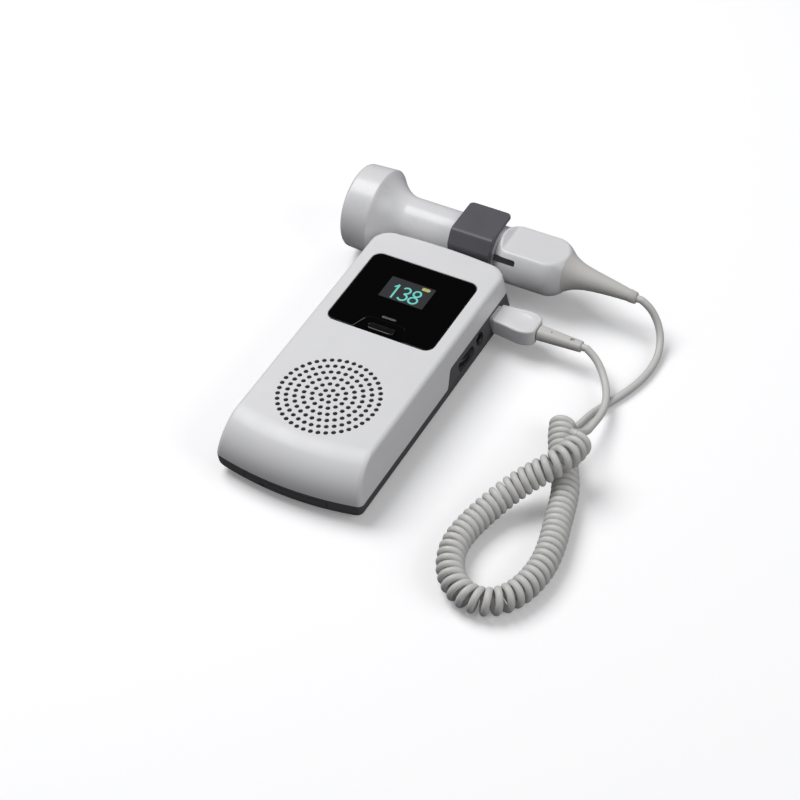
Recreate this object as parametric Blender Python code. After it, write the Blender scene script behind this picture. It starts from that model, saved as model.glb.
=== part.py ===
"""Hand-held fetal doppler monitor: display unit, waterproof probe in its holder, and curly cord.

Metres, +Z up. The unit lies on its flat back with its head end towards +Y and its ports
towards +X. The origin is the middle of the flat back.
"""
import math

import bmesh
import bpy
from mathutils import Matrix, Vector

for leftover in list(bpy.data.objects):
    bpy.data.objects.remove(leftover, do_unlink=True)

# Clearances and cutter overrun
GAP = 0.0003
OVERRUN = 0.001

# Case: outside form
CASE_TOP = 0.026
PARTING = 0.0097
TOP_HALF_WIDTH = 0.031
PARTING_HALF_WIDTH = 0.0338
HEAD_TOP_Y = 0.070
HEAD_PARTING_Y = 0.072
HEAD_BOW = 0.002
HEAD_CORNER = 0.0085
FOOT_FLAT_Y = -0.0545
FOOT_REACH = 0.0175
FOOT_BOW = 0.004
FOOT_CORNER = 0.0026
TOP_FILLET = 0.0018
BACK_EDGE = 0.0062
BACK_DRAFT = 0.0007
CORNER_GROWTH_SHARE = 0.35

# Case: walls
WALL = 0.002
TOP_WALL = 0.0026
FLOOR = 0.002
BOSS_RADIUS = 0.0028
SCREW_RADIUS = 0.001
SCREW_HEAD_RADIUS = 0.0019
SCREW_HEAD_HEIGHT = 0.0016
SCREW_SEAT = 0.005
HEAD_SCREW_X = 0.0248
HEAD_SCREW_Y = 0.0635
FOOT_SCREW_X = 0.0262
FOOT_SCREW_Y = -0.052
FOOT_POST_TOP = 0.012

# Side notch where the port wall stands up
NOTCH_TOP = 0.017
NOTCH_FOOT_Y = 0.0055
NOTCH_STEP = 0.007
NOTCH_HEAD_Y = 0.0645
NOTCH_CORNER = 0.0016

# Window, display and button
WINDOW_WIDTH = 0.0496
WINDOW_LENGTH = 0.0455
WINDOW_CORNER = 0.004
WINDOW_Y = 0.0312
WINDOW_THICKNESS = 0.0012
WINDOW_SINK = 0.0001
WINDOW_LEDGE = 0.004
PANEL_WIDTH = 0.027
PANEL_LENGTH = 0.0196
PANEL_THICKNESS = 0.0015
PANEL_Y = 0.0363
PANEL_RIM = 0.0015
BUTTON_LENGTH = 0.0122
BUTTON_WIDTH = 0.0036
BUTTON_Y = 0.0118
BUTTON_PROUD = 0.0003
BUTTON_TRAVEL = 0.0005
BUTTON_FLANGE = 0.0008
BUTTON_FLANGE_THICKNESS = 0.0008
ARCH_TOP_HALF_WIDTH = 0.0094
ARCH_FOOT_HALF_WIDTH = 0.0122
ARCH_TOP_Y = 0.0168
ARCH_CORNER = 0.0024
ARCH_DEPTH = 0.0003
LIGHT_LENGTH = 0.0068
LIGHT_WIDTH = 0.0011
LIGHT_Y = 0.019
LIGHT_TAIL = 0.0012

# Speaker grille
GRILLE_Y = -0.0325
GRILLE_RINGS = 6
GRILLE_PITCH = 0.0035
GRILLE_HOLE_RADIUS = 0.0009
GRILLE_HOLES_PER_RING = 7
GRILLE_HOLE_SIDES = 5

# Speaker
SPEAKER_RADIUS = 0.0215
GAUZE_THICKNESS = 0.0003
GASKET_THICKNESS = 0.0006
GASKET_WIDTH = 0.0018
SPEAKER_FLANGE_THICKNESS = 0.0007
SPEAKER_BASKET_WALL = 0.0007
CONE_THICKNESS = 0.0004
CONE_DEPTH = 0.0010
CONE_DOME_RADIUS = 0.0055
MAGNET_RADIUS = 0.008
MAGNET_THICKNESS = 0.0017

# Circuit board and what it carries
BOARD_Z = 0.0172
BOARD_THICKNESS = 0.0012
BOARD_HALF_WIDTH = 0.0282
BOARD_FOOT_Y = -0.0038
BOARD_HEAD_Y = 0.0668
BOARD_CORNER = 0.006
BOARD_POST_Y = 0.0004
BOARD_POST_X = 0.0242
SWITCH_SIZE = 0.006
SWITCH_HEIGHT = 0.0018
SWITCH_PLUNGER_RADIUS = 0.0015

# Volume thumbwheel and its potentiometer
WHEEL_RADIUS = 0.009
WHEEL_RIB = 0.0004
WHEEL_RIBS = 22
WHEEL_THICKNESS = 0.003
WHEEL_Y = 0.0245
WHEEL_Z = 0.012
WHEEL_PROUD = 0.0005
WHEEL_SLOT_LENGTH = 0.014
WHEEL_SLOT_HEIGHT = 0.005
POT_SIZE = 0.0105
POT_SHAFT_RADIUS = 0.002

# Headphone jack
JACK_Y = 0.037
JACK_Z = 0.0128
JACK_BORE_RADIUS = 0.0018
JACK_COLLAR_RADIUS = 0.0028
JACK_BODY_WIDTH = 0.0065
JACK_BODY_LENGTH = 0.012
JACK_BODY_DEPTH = 0.0062

# Probe socket and plug
PLUG_Y = 0.0525
PLUG_Z = 0.012
PLUG_NOSE_HALF_WIDTH = 0.0052
PLUG_NOSE_HALF_HEIGHT = 0.0037
PLUG_HALF_HEIGHT = 0.004
PLUG_HALF_WIDTH = 0.007
PLUG_NOSE_DEPTH = 0.0025
PLUG_BODY_LENGTH = 0.0195
PLUG_BOOT_LENGTH = 0.0198
PLUG_BOOT_START_RADIUS = 0.00345
PLUG_BOOT_END_RADIUS = 0.0021
PLUG_BOOT_EDGE = 0.0003
PLUG_DIMPLE_LENGTH = 0.0115
PLUG_DIMPLE_WIDTH = 0.0085
PLUG_DIMPLE_DEPTH = 0.0006
PLUG_DIMPLE_INSET = 0.0115
TONGUE_HALF_WIDTH = 0.0034
TONGUE_HALF_HEIGHT = 0.0011
TONGUE_LENGTH = 0.0085
SOCKET_WALL = 0.0012
SOCKET_DEPTH = 0.0105

# Battery bay and door
CELL_RADIUS = 0.0071
CELL_LENGTH = 0.0502
CELL_NUB_RADIUS = 0.0027
CELL_NUB_LENGTH = 0.0012
CELL_EDGE = 0.0006
BAY_WALL = 0.0012
BAY_FOOT_Y = -0.0637
SPRING_ROOM = 0.0052
SPRING_WIRE = 0.0008
SPRING_RADIUS = 0.0036
SPRING_TURNS = 3
PLATE_THICKNESS = 0.0005
PLATE_WIDTH = 0.009
DOOR_HALF_WIDTH = 0.019
DOOR_THICKNESS = 0.0016
DOOR_END_Y = -0.0677
DOOR_END_HEIGHT = 0.008
DOOR_LATCH_X = -0.0105
DOOR_LATCH_WIDTH = 0.0055
DOOR_LATCH_DEPTH = 0.0009
DOOR_LATCH_Z = 0.0052
DOOR_LATCH_HEIGHT = 0.0016
DOOR_RIB_COUNT = 5
DOOR_RIB_PITCH = 0.0022
DOOR_RIB_DEPTH = 0.0005
DOOR_RIB_HALF_LENGTH = 0.006
DOOR_RIB_Y = -0.050
BAY_RIM = 0.0022
BAY_RIM_THICKNESS = 0.0013

# Probe
PROBE_Y = 0.0842
PROBE_Z = 0.0201
FACE_X = -0.0502
FACE_THICKNESS = 0.0019
RIM_RADIUS = 0.0196
HEAD_TAPER = 0.0006
HEAD_RADIUS = RIM_RADIUS - HEAD_TAPER
RIM_X = -0.0366
RIM_EDGE = 0.0012
FACE_EDGE = 0.0020
FLARE_LENGTH = 0.0135
FLARE_POWER = 2.1
NECK_RADIUS = 0.0108
NECK_END_X = 0.0212
PROBE_WALL = 0.0018
HANDLE_RADIUS = 0.0131
HANDLE_SWELL = 0.006
HANDLE_SHOULDER_X = 0.043
HANDLE_END_X = 0.052
HANDLE_END_RADIUS = 0.0109
FACET_HEIGHT = 0.00925
FACET_START_X = 0.0253
FACET_RAMP = 0.0022
GROOVE_END_X = 0.0318
GROOVE_HALF_HEIGHT = 0.0014
GROOVE_DEPTH = 0.0012
GROOVE_ANGLE = math.radians(26)
BOOT_END_X = 0.084
BOOT_END_RADIUS = 0.0023
BOOT_POWER = 1.85
BOOT_DROOP = 0.0022
CRYSTAL_RADIUS = 0.0032
CRYSTAL_THICKNESS = 0.0012
CRYSTAL_CIRCLE = 0.0098
CRYSTAL_COUNT = 6
BACKING_THICKNESS = 0.004
PROBE_BOARD_LENGTH = 0.042
PROBE_BOARD_THICKNESS = 0.0012

# Probe holder on the head end
HOLDER_X = 0.0004
HOLDER_WIDTH = 0.0197
HOLDER_ARM = 0.0017
HOLDER_CLEARANCE = 0.0003
HOLDER_UPPER_REACH = 0.0102
HOLDER_LOWER_REACH = 0.0068
HOLDER_CORNER = 0.0012
HOLDER_SCREW_Z = 0.0128
HOLDER_SCREW_SPACING = 0.010
HOLDER_SCREW_GRIP = 0.0032

# Cord
CORD_DIAMETER = 0.0032
CORD_STEP = 0.0078
COIL_WIRE = 0.0026
COIL_OUTER_RADIUS = 0.0058
COIL_CLOSED_PITCH = 0.0036
COIL_POINTS_PER_CURL = 8
COIL_RAMP_CURLS = 1.25
COIL_LEAST_GAP = 0.0004
COIL_BEND_SAMPLES = 12
COIL_EASE_ROUNDS = 150

# Points the cord passes through, chosen by hand: probe end, coil, plug end
PROBE_TAIL_ROUTE = [
    (0.0886, 0.0842, 0.0158), (0.0925, 0.0838, 0.0113), (0.0974, 0.0800, 0.0060),
    (0.1004, 0.0710, 0.0026), (0.1004, 0.0580, 0.0019), (0.0973, 0.0460, 0.0019),
    (0.0936, 0.0368, 0.0019), (0.0905, 0.0296, 0.0019), (0.0868, 0.0215, 0.0019),
    (0.0842, 0.0160, 0.0019),
]
COIL_ROUTE = [
    (0.0834, 0.0135, 0.0062), (0.0862, 0.0058, 0.0062), (0.0938, -0.0078, 0.0062),
    (0.0998, -0.0185, 0.0062), (0.1025, -0.0270, 0.0062), (0.1055, -0.0387, 0.0062),
    (0.1085, -0.0503, 0.0062), (0.1098, -0.0615, 0.0062), (0.1083, -0.0735, 0.0062),
    (0.1040, -0.0830, 0.0062), (0.0965, -0.0880, 0.0062), (0.0865, -0.0865, 0.0062),
    (0.0780, -0.0780, 0.0062), (0.0738, -0.0652, 0.0062), (0.0750, -0.0528, 0.0063),
    (0.0784, -0.0415, 0.0078), (0.0834, -0.0322, 0.0112), (0.0896, -0.0250, 0.0152),
    (0.0954, -0.0195, 0.0184), (0.0988, -0.0118, 0.0190), (0.0986, -0.0046, 0.0182),
]
PLUG_TAIL_ROUTE = [
    (0.0968, 0.0010, 0.0134), (0.0957, 0.0072, 0.0114), (0.0957, 0.0140, 0.0092),
    (0.0953, 0.0255, 0.0070), (0.0925, 0.0360, 0.0058), (0.0876, 0.0446, 0.0056),
    (0.0812, 0.0502, 0.0086), (0.0768, 0.0521, 0.0112),
]

WHITE = (0.80, 0.80, 0.81)
PEARL = (0.72, 0.72, 0.73)
WARM_GREY = (0.62, 0.61, 0.59)
SLATE = (0.10, 0.10, 0.11)
CHARCOAL = (0.065, 0.065, 0.07)


def finish(name, colour, roughness=0.45, metallic=0.0):
    """A plain surface finish for one piece."""
    material = bpy.data.materials.new(name)
    material.use_nodes = True
    shader = material.node_tree.nodes["Principled BSDF"]
    shader.inputs["Base Color"].default_value = (*colour, 1.0)
    shader.inputs["Roughness"].default_value = roughness
    shader.inputs["Metallic"].default_value = metallic
    return material


def link(name, data):
    piece = bpy.data.objects.new(name, data)
    bpy.context.scene.collection.objects.link(piece)
    return piece


def dress(piece, material, sharp_angle=math.radians(32)):
    """Give a mesh its one material and smooth its round faces."""
    piece.data.materials.clear()
    piece.data.materials.append(material)
    for face in piece.data.polygons:
        face.material_index = 0
    piece.data.shade_smooth()
    piece.data.set_sharp_from_angle(angle=sharp_angle)
    return piece


def mesh_object(name, bm):
    bmesh.ops.recalc_face_normals(bm, faces=bm.faces)
    data = bpy.data.meshes.new(name)
    bm.to_mesh(data)
    bm.free()
    return link(name, data)


def loft(name, rings):
    """A closed solid through rings of points that all have the same count."""
    bm = bmesh.new()
    loops = [[bm.verts.new(point) for point in ring] for ring in rings]
    for lower, upper in zip(loops, loops[1:]):
        count = len(lower)
        for i in range(count):
            j = (i + 1) % count
            bm.faces.new((lower[i], lower[j], upper[j], upper[i]))
    bm.faces.new(list(reversed(loops[0])))
    bm.faces.new(loops[-1])
    return mesh_object(name, bm)


def placed(axis, a, b, level):
    """A point from its place on a plane and its level along the plane's axis."""
    return {"X": (level, a, b), "Y": (a, level, b), "Z": (a, b, level)}[axis]


def prism(name, outline, low, high, axis="Z"):
    """An outline pushed along one axis; the outline's pair is the other two in X, Y, Z order."""
    return loft(name, [[placed(axis, a, b, level) for a, b in outline] for level in (low, high)])


def box(name, low, high):
    outline = [(low[0], low[1]), (high[0], low[1]), (high[0], high[1]), (low[0], high[1])]
    return prism(name, outline, low[2], high[2])


def circle(radius, sides, centre=(0, 0), start=0.0):
    turn = math.tau / sides
    return [(centre[0] + radius * math.cos(start + turn * i),
             centre[1] + radius * math.sin(start + turn * i)) for i in range(sides)]


def cylinder(name, radius, low, high, centre=(0, 0), axis="Z", sides=12):
    return prism(name, circle(radius, sides, centre), low, high, axis)


def turned(name, profile, centre, sides=28, closed=False):
    """Turn (x, radius) points about an axis along +X through centre = (y, z)."""
    bm = bmesh.new()
    rows = []
    for x, radius in profile:
        if radius <= 0:
            rows.append([bm.verts.new((x, centre[0], centre[1]))] * sides)
        else:
            rows.append([bm.verts.new((x, y, z)) for y, z in circle(radius, sides, centre)])
    pairs = list(zip(rows, rows[1:]))
    if closed:
        pairs.append((rows[-1], rows[0]))
    for first, second in pairs:
        for i in range(sides):
            j = (i + 1) % sides
            corners = []
            for vert in (first[i], first[j], second[j], second[i]):
                if vert not in corners:
                    corners.append(vert)
            if len(corners) > 2:
                bm.faces.new(corners)
    return mesh_object(name, bm)


def rounded_rectangle(half_width, half_length, radius, centre=(0, 0), steps=4):
    points = []
    for quadrant, (side_x, side_y) in enumerate(((1, 1), (-1, 1), (-1, -1), (1, -1))):
        corner = (centre[0] + side_x * (half_width - radius), centre[1] + side_y * (half_length - radius))
        for i in range(steps + 1):
            angle = math.pi / 2 * (quadrant + i / steps)
            points.append((corner[0] + radius * math.cos(angle), corner[1] + radius * math.sin(angle)))
    return points


def apply_boolean(piece, tool, operation):
    """Cut, join or keep the shared part of two solids, and drop the tool."""
    modifier = piece.modifiers.new(operation.title(), "BOOLEAN")
    modifier.operation = operation
    modifier.solver = "EXACT"
    modifier.object = tool
    graph = bpy.context.evaluated_depsgraph_get()
    graph.update()
    result = bpy.data.meshes.new_from_object(piece.evaluated_get(graph))
    piece.modifiers.clear()
    piece.data = result
    bpy.data.objects.remove(tool, do_unlink=True)
    return piece


def cut(piece, *tools):
    for tool in tools:
        apply_boolean(piece, tool, "DIFFERENCE")
    return piece


def join(piece, *tools):
    for tool in tools:
        apply_boolean(piece, tool, "UNION")
    return piece


def keep(piece, tool):
    return apply_boolean(piece, tool, "INTERSECT")


def gather(name, pieces):
    """Several separate solids as one node."""
    bm = bmesh.new()
    for piece in pieces:
        part = bmesh.new()
        part.from_mesh(piece.data)
        part.transform(piece.matrix_world)
        holder = bpy.data.meshes.new(name)
        part.to_mesh(holder)
        part.free()
        bm.from_mesh(holder)
        bpy.data.meshes.remove(holder)
        bpy.data.objects.remove(piece, do_unlink=True)
    data = bpy.data.meshes.new(name)
    bm.to_mesh(data)
    bm.free()
    return link(name, data)


def set_origin(piece, origin):
    """Put a piece's origin on its joint's axis without moving its shape."""
    piece.data.transform(Matrix.Translation(-Vector(origin)))
    piece.location = origin
    return piece


def smooth_path(points, step, before=None, after=None):
    """Evenly spaced points on a smooth curve through the points, led in and out by one more at each end."""
    knots = [Vector(p) for p in points]
    before = before or knots[0] * 2 - knots[1]
    after = after or knots[-1] * 2 - knots[-2]
    ends = [before] + knots + [after]
    fine = []
    samples = 24
    for a, b, c, d in zip(ends, ends[1:], ends[2:], ends[3:]):
        for i in range(samples):
            t = i / samples
            fine.append(0.5 * (2 * b + (c - a) * t + (2 * a - 5 * b + 4 * c - d) * t ** 2
                               + (3 * b - 3 * c + d - a) * t ** 3))
    fine.append(knots[-1])
    lengths = [0.0]
    for first, second in zip(fine, fine[1:]):
        lengths.append(lengths[-1] + (second - first).length)
    count = max(2, round(lengths[-1] / step))
    even = []
    place = 0
    for i in range(count + 1):
        target = lengths[-1] * i / count
        while place < len(lengths) - 2 and lengths[place + 1] < target:
            place += 1
        share = (target - lengths[place]) / (lengths[place + 1] - lengths[place])
        even.append(fine[place].lerp(fine[place + 1], share))
    return even


def eased(points, rounds):
    """The same curve with its tight spots relaxed; the ends stay."""
    for _ in range(rounds):
        inner = [(a + b + c) / 3 for a, b, c in zip(points, points[1:], points[2:])]
        points = [points[0]] + inner + [points[-1]]
    return points


def tail_path(start, start_way, route, end, end_way):
    """A cord from one face to another, straight out of each for one diameter."""
    first = start + start_way * CORD_DIAMETER
    last = end - end_way * CORD_DIAMETER
    return [start] + smooth_path([first] + route + [last], CORD_STEP, start, end) + [end]


def tube(name, points, diameter, resolution):
    """A round cord along the points, with closed ends."""
    data = bpy.data.curves.new(name, "CURVE")
    data.dimensions = "3D"
    data.bevel_depth = diameter / 2
    data.bevel_resolution = resolution
    data.use_fill_caps = True
    spline = data.splines.new("POLY")
    spline.points.add(len(points) - 1)
    for knot, point in zip(spline.points, points):
        knot.co = (*point, 1.0)
    return link(name, data)


def slope_share(z):
    """How far a height lies below the top face, from 0 there to 1 at the parting line."""
    return (CASE_TOP - z) / (CASE_TOP - PARTING)


def end_curve(half, end, bow, radius, steps, stations):
    """One bowed end of the case with its two rounded corners, from +X to -X, facing +Y."""
    slope = math.atan(2 * bow / half)
    opening = math.pi / 2 + slope
    tangent = radius / math.tan(opening / 2)
    centre = (half - radius, end - bow - tangent)
    sweep = math.pi / 2 - slope
    corner = [(centre[0] + radius * math.cos(sweep * i / steps),
               centre[1] + radius * math.sin(sweep * i / steps)) for i in range(steps + 1)]
    reach = corner[-1][0]
    middle = []
    for i in range(1, stations):
        x = reach * (1 - 2 * i / stations)
        middle.append((x, end - bow * (x / half) ** 2))
    return corner + middle + [(-x, y) for x, y in reversed(corner)]


def case_ring(z, half, foot, head, foot_radius, head_radius, steps=5):
    head_points = end_curve(half, head, HEAD_BOW, head_radius, steps, steps + 1)
    foot_points = end_curve(half, -foot, FOOT_BOW, foot_radius, steps - 2, steps + 1)
    return [(x, y, z) for x, y in head_points] + [(-x, -y, z) for x, y in foot_points]


def back_ring(angle, inset, steps=5):
    """A level of the rounded lower edge: angle 0 is the flat back, a quarter turn is the side wall."""
    z = BACK_EDGE * (1 - math.cos(angle))
    draft = BACK_DRAFT * (1 - z / PARTING)
    pulled = BACK_EDGE * (1 - math.sin(angle)) + draft + inset
    foot = FOOT_FLAT_Y - FOOT_REACH + pulled
    return case_ring(z, PARTING_HALF_WIDTH - pulled, foot, HEAD_PARTING_Y - pulled,
                     FOOT_CORNER + pulled * CORNER_GROWTH_SHARE, HEAD_CORNER, steps)


def front_ring(angle, inset, top, fillet, steps=5):
    """A level of the front: the foot end is a quarter ellipse, the side edge a fillet."""
    z = PARTING + (top - PARTING) * math.sin(angle)
    lean = slope_share(z)
    half = TOP_HALF_WIDTH + (PARTING_HALF_WIDTH - TOP_HALF_WIDTH) * lean
    head = HEAD_TOP_Y + (HEAD_PARTING_Y - HEAD_TOP_Y) * lean
    over = max(0, z - (top - fillet))
    pulled = inset + (fillet - math.sqrt(max(0, fillet ** 2 - over ** 2)) if fillet else 0)
    foot = FOOT_FLAT_Y - (FOOT_REACH - inset) * math.cos(angle)
    return case_ring(z, half - pulled, foot, head - pulled, FOOT_CORNER - inset * CORNER_GROWTH_SHARE,
                     HEAD_CORNER - inset, steps)


def case_body(name):
    rings = [back_ring(math.radians(a), 0) for a in (0, 30, 60, 90)]
    rings += [front_ring(math.radians(a), 0, CASE_TOP, TOP_FILLET) for a in (0, 22, 42, 58, 70, 78, 90)]
    return loft(name, rings)


def case_cavity(name):
    floor_angle = math.acos(1 - FLOOR / BACK_EDGE)
    rings = [back_ring(floor_angle, WALL, 3), back_ring(math.radians(90), WALL, 3)]
    rings += [front_ring(math.radians(a), WALL, CASE_TOP - TOP_WALL, 0, 3) for a in (0, 30, 60, 90)]
    return loft(name, rings)


def case_shell(name):
    return cut(case_body(name), case_cavity("cavity"))


def notch_outline(clear):
    """The raised part of the port wall, seen from +X, as (y, z), shrunk by a clearance."""
    top = NOTCH_TOP - clear
    low = PARTING - NOTCH_CORNER
    start = NOTCH_FOOT_Y + clear
    outline = [(start, low)]
    steps = 8
    for i in range(steps + 1):
        share = i / steps
        rise = (1 - math.cos(math.pi * share)) / 2
        outline.append((start + NOTCH_STEP * share, PARTING + (top - PARTING) * rise))
    end = NOTCH_HEAD_Y - clear
    for i in range(4):
        angle = math.pi / 2 * (1 - i / 3)
        outline.append((end - NOTCH_CORNER * (1 - math.cos(angle)),
                        top - NOTCH_CORNER * (1 - math.sin(angle))))
    outline.append((end, low))
    return list(reversed(outline))


def parting_tool(name, level, clear):
    """Everything below the parting surface, with the raised port wall."""
    reach = PARTING_HALF_WIDTH + OVERRUN
    slab = box(name, (-reach, FOOT_FLAT_Y - FOOT_REACH - OVERRUN, -OVERRUN),
               (reach, HEAD_PARTING_Y + OVERRUN, level))
    inner = TOP_HALF_WIDTH - 2 * WALL
    return join(slab, prism("notch", notch_outline(clear), inner, reach, "X"))


def screw_places():
    for side in (-1, 1):
        yield side * HEAD_SCREW_X, HEAD_SCREW_Y
        yield side * FOOT_SCREW_X, FOOT_SCREW_Y


WINDOW_TOP = CASE_TOP - WINDOW_SINK
WINDOW_BOTTOM = WINDOW_TOP - WINDOW_THICKNESS
BOARD_TOP = BOARD_Z + BOARD_THICKNESS
PORT_FACE = PARTING_HALF_WIDTH - (PARTING_HALF_WIDTH - TOP_HALF_WIDTH) * (1 - slope_share(PLUG_Z))


def wall_x(z):
    """Outer face of the side wall at a height above the parting line."""
    return TOP_HALF_WIDTH + (PARTING_HALF_WIDTH - TOP_HALF_WIDTH) * slope_share(z)


def head_y(z, x=0.0):
    """Outer face of the head end at a height above the parting line."""
    return HEAD_TOP_Y + (HEAD_PARTING_Y - HEAD_TOP_Y) * slope_share(z) - HEAD_BOW * (x / wall_x(z)) ** 2


def make_front_cover():
    shell = case_shell("front_cover")
    cut(shell, parting_tool("below", PARTING + GAP / 2, 0))
    ceiling = CASE_TOP - TOP_WALL
    for x, y in screw_places():
        low = BOARD_TOP + GAP if y > 0 else FOOT_POST_TOP + GAP
        join(shell, cylinder("boss", BOSS_RADIUS, low, ceiling + TOP_WALL / 2, (x, y)))
        cut(shell, cylinder("pilot", SCREW_RADIUS + GAP, low - OVERRUN, ceiling - OVERRUN, (x, y), sides=8))
    recess = rounded_rectangle(WINDOW_WIDTH / 2 + GAP, WINDOW_LENGTH / 2 + GAP, WINDOW_CORNER + GAP,
                               (0, WINDOW_Y))
    opening = rounded_rectangle(WINDOW_WIDTH / 2 - WINDOW_LEDGE, WINDOW_LENGTH / 2 - WINDOW_LEDGE / 2,
                                WINDOW_CORNER / 2, (0, WINDOW_Y))
    button_room = rounded_rectangle(BUTTON_LENGTH / 2 + BUTTON_FLANGE + GAP,
                                    BUTTON_WIDTH / 2 + BUTTON_FLANGE + GAP, BUTTON_WIDTH / 2,
                                    (0, BUTTON_Y), 3)
    cut(shell, prism("recess", recess, WINDOW_BOTTOM - GAP, CASE_TOP + OVERRUN),
        prism("opening", opening, ceiling - OVERRUN, CASE_TOP),
        prism("button_room", button_room, ceiling - OVERRUN, CASE_TOP))
    places = [(0, GRILLE_Y)]
    for ring in range(1, GRILLE_RINGS + 1):
        places += circle(ring * GRILLE_PITCH, ring * GRILLE_HOLES_PER_RING, (0, GRILLE_Y), math.pi / 2)
    holes = [cylinder("hole", GRILLE_HOLE_RADIUS, ceiling - OVERRUN, CASE_TOP + OVERRUN, place,
                      sides=GRILLE_HOLE_SIDES) for place in places]
    cut(shell, gather("grille_holes", holes))
    for x in holder_screw_places():
        wall = head_y(HOLDER_SCREW_Z, x)
        place = (x, HOLDER_SCREW_Z)
        cut(shell, cylinder("screw_hole", SCREW_RADIUS + GAP, wall - 2 * WALL, wall + OVERRUN, place, "Y", 8),
            cylinder("screw_seat", SCREW_HEAD_RADIUS + GAP, wall - 2 * WALL, wall - WALL, place, "Y"))
    dress(shell, finish("white case plastic", WHITE, 0.42))


def make_rear_cover():
    shell = keep(case_shell("rear_cover"), parting_tool("below", PARTING - GAP / 2, GAP))
    bay = bay_box()
    rim_top = DOOR_THICKNESS + GAP + BAY_RIM_THICKNESS
    rim_low = DOOR_THICKNESS + GAP
    rim_half = DOOR_HALF_WIDTH + GAP + BAY_RIM
    join(shell, box("rim", (-rim_half, bay[0][1] - BAY_WALL, rim_low),
                    (rim_half, bay[1][1] + 2 * BAY_RIM, rim_top)),
         box("bay", (bay[0][0] - BAY_WALL, bay[0][1] - BAY_WALL, rim_low),
             (bay[1][0] + BAY_WALL, bay[1][1] + BAY_WALL, bay[1][2] + BAY_WALL)))
    for x, y in screw_places():
        top = BOARD_Z - GAP if y > 0 else FOOT_POST_TOP
        join(shell, cylinder("post", BOSS_RADIUS, FLOOR / 2, top, (x, y)))
    for side in (-1, 1):
        post = (side * BOARD_POST_X, BOARD_POST_Y)
        join(shell, cylinder("post", BOSS_RADIUS, FLOOR / 2, BOARD_Z - GAP, post))
        cut(shell, cylinder("pilot", SCREW_RADIUS + GAP, SCREW_SEAT, BOARD_Z + OVERRUN, post, sides=8))
    for x, y in screw_places():
        cut(shell, cylinder("sink", SCREW_HEAD_RADIUS + GAP, -OVERRUN, SCREW_SEAT, (x, y)),
            cylinder("bore", SCREW_RADIUS + GAP, 0, BOARD_Z + OVERRUN, (x, y), sides=8))
    cut(shell, box("bay_room", (bay[0][0], bay[0][1], -OVERRUN), bay[1]), door_tool("door_room", GAP))
    wall_low = TOP_HALF_WIDTH - 2 * WALL
    wall_high = PARTING_HALF_WIDTH + OVERRUN
    slot = rounded_rectangle(WHEEL_SLOT_LENGTH / 2, WHEEL_SLOT_HEIGHT / 2, WHEEL_SLOT_HEIGHT / 2 - GAP,
                             (WHEEL_Y, WHEEL_Z), 4)
    nose = rounded_rectangle(PLUG_NOSE_HALF_WIDTH + GAP, PLUG_NOSE_HALF_HEIGHT + GAP,
                             PLUG_NOSE_HALF_HEIGHT / 2, (PLUG_Y, PLUG_Z), 3)
    cut(shell, prism("wheel_slot", slot, wall_low, wall_high, "X"),
        prism("socket_opening", nose, wall_low, wall_high, "X"),
        cylinder("jack_hole", JACK_COLLAR_RADIUS + GAP, wall_low, wall_high, (JACK_Y, JACK_Z), "X", 16))
    dress(shell, finish("charcoal case plastic", CHARCOAL, 0.55))


def bay_box():
    """The room for the two cells, their springs and contact plates."""
    half = 2 * CELL_RADIUS + 2 * GAP
    length = SPRING_ROOM + CELL_LENGTH + CELL_NUB_LENGTH + PLATE_THICKNESS + 3 * GAP
    low = (-half, BAY_FOOT_Y, DOOR_THICKNESS)
    high = (half, BAY_FOOT_Y + length, DOOR_THICKNESS + 2 * CELL_RADIUS + 2 * GAP)
    return low, high


def door_tool(name, clear):
    """The space of the battery door: a plate in the back and its turned-up end."""
    half = DOOR_HALF_WIDTH + clear
    far = FOOT_FLAT_Y - FOOT_REACH - OVERRUN
    head = bay_box()[1][1] + BAY_RIM + clear
    plate = box(name, (-half, far, -OVERRUN), (half, head, DOOR_THICKNESS + clear))
    end = box("end", (-half, far, 0), (half, DOOR_END_Y + clear, DOOR_END_HEIGHT + clear))
    return join(plate, end)


def make_battery_door():
    door = keep(case_body("battery_door"), door_tool("door_space", 0))
    far = FOOT_FLAT_Y - FOOT_REACH
    half_latch = DOOR_LATCH_WIDTH / 2
    latch_y = far + FOOT_BOW * (DOOR_LATCH_X / PARTING_HALF_WIDTH) ** 2 + BACK_DRAFT
    low, high = DOOR_LATCH_Z - DOOR_LATCH_HEIGHT / 2, DOOR_LATCH_Z + DOOR_LATCH_HEIGHT / 2
    cut(door, box("latch", (DOOR_LATCH_X - half_latch, far - OVERRUN, low),
                  (DOOR_LATCH_X + half_latch, latch_y + DOOR_LATCH_DEPTH, high)))
    for i in range(DOOR_RIB_COUNT):
        y = DOOR_RIB_Y + i * DOOR_RIB_PITCH
        cut(door, box("grip", (-DOOR_RIB_HALF_LENGTH, y, -OVERRUN),
                      (DOOR_RIB_HALF_LENGTH, y + DOOR_RIB_PITCH / 2, DOOR_RIB_DEPTH)))
    dress(door, finish("charcoal door plastic", CHARCOAL, 0.55))


def arch_outline():
    """The button's sunk surround: a flat top with round corners, spreading to the window's lower edge."""
    low = WINDOW_Y - WINDOW_LENGTH / 2 - OVERRUN
    lean = math.atan2(ARCH_FOOT_HALF_WIDTH - ARCH_TOP_HALF_WIDTH, ARCH_TOP_Y - low)
    right = [(ARCH_FOOT_HALF_WIDTH, low)]
    steps = 4
    for i in range(steps + 1):
        angle = lean + (math.pi / 2 - lean) * i / steps
        right.append((ARCH_TOP_HALF_WIDTH - ARCH_CORNER * (1 - math.cos(angle)),
                      ARCH_TOP_Y - ARCH_CORNER * (1 - math.sin(angle))))
    return right + [(-x, y) for x, y in reversed(right)]


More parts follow.
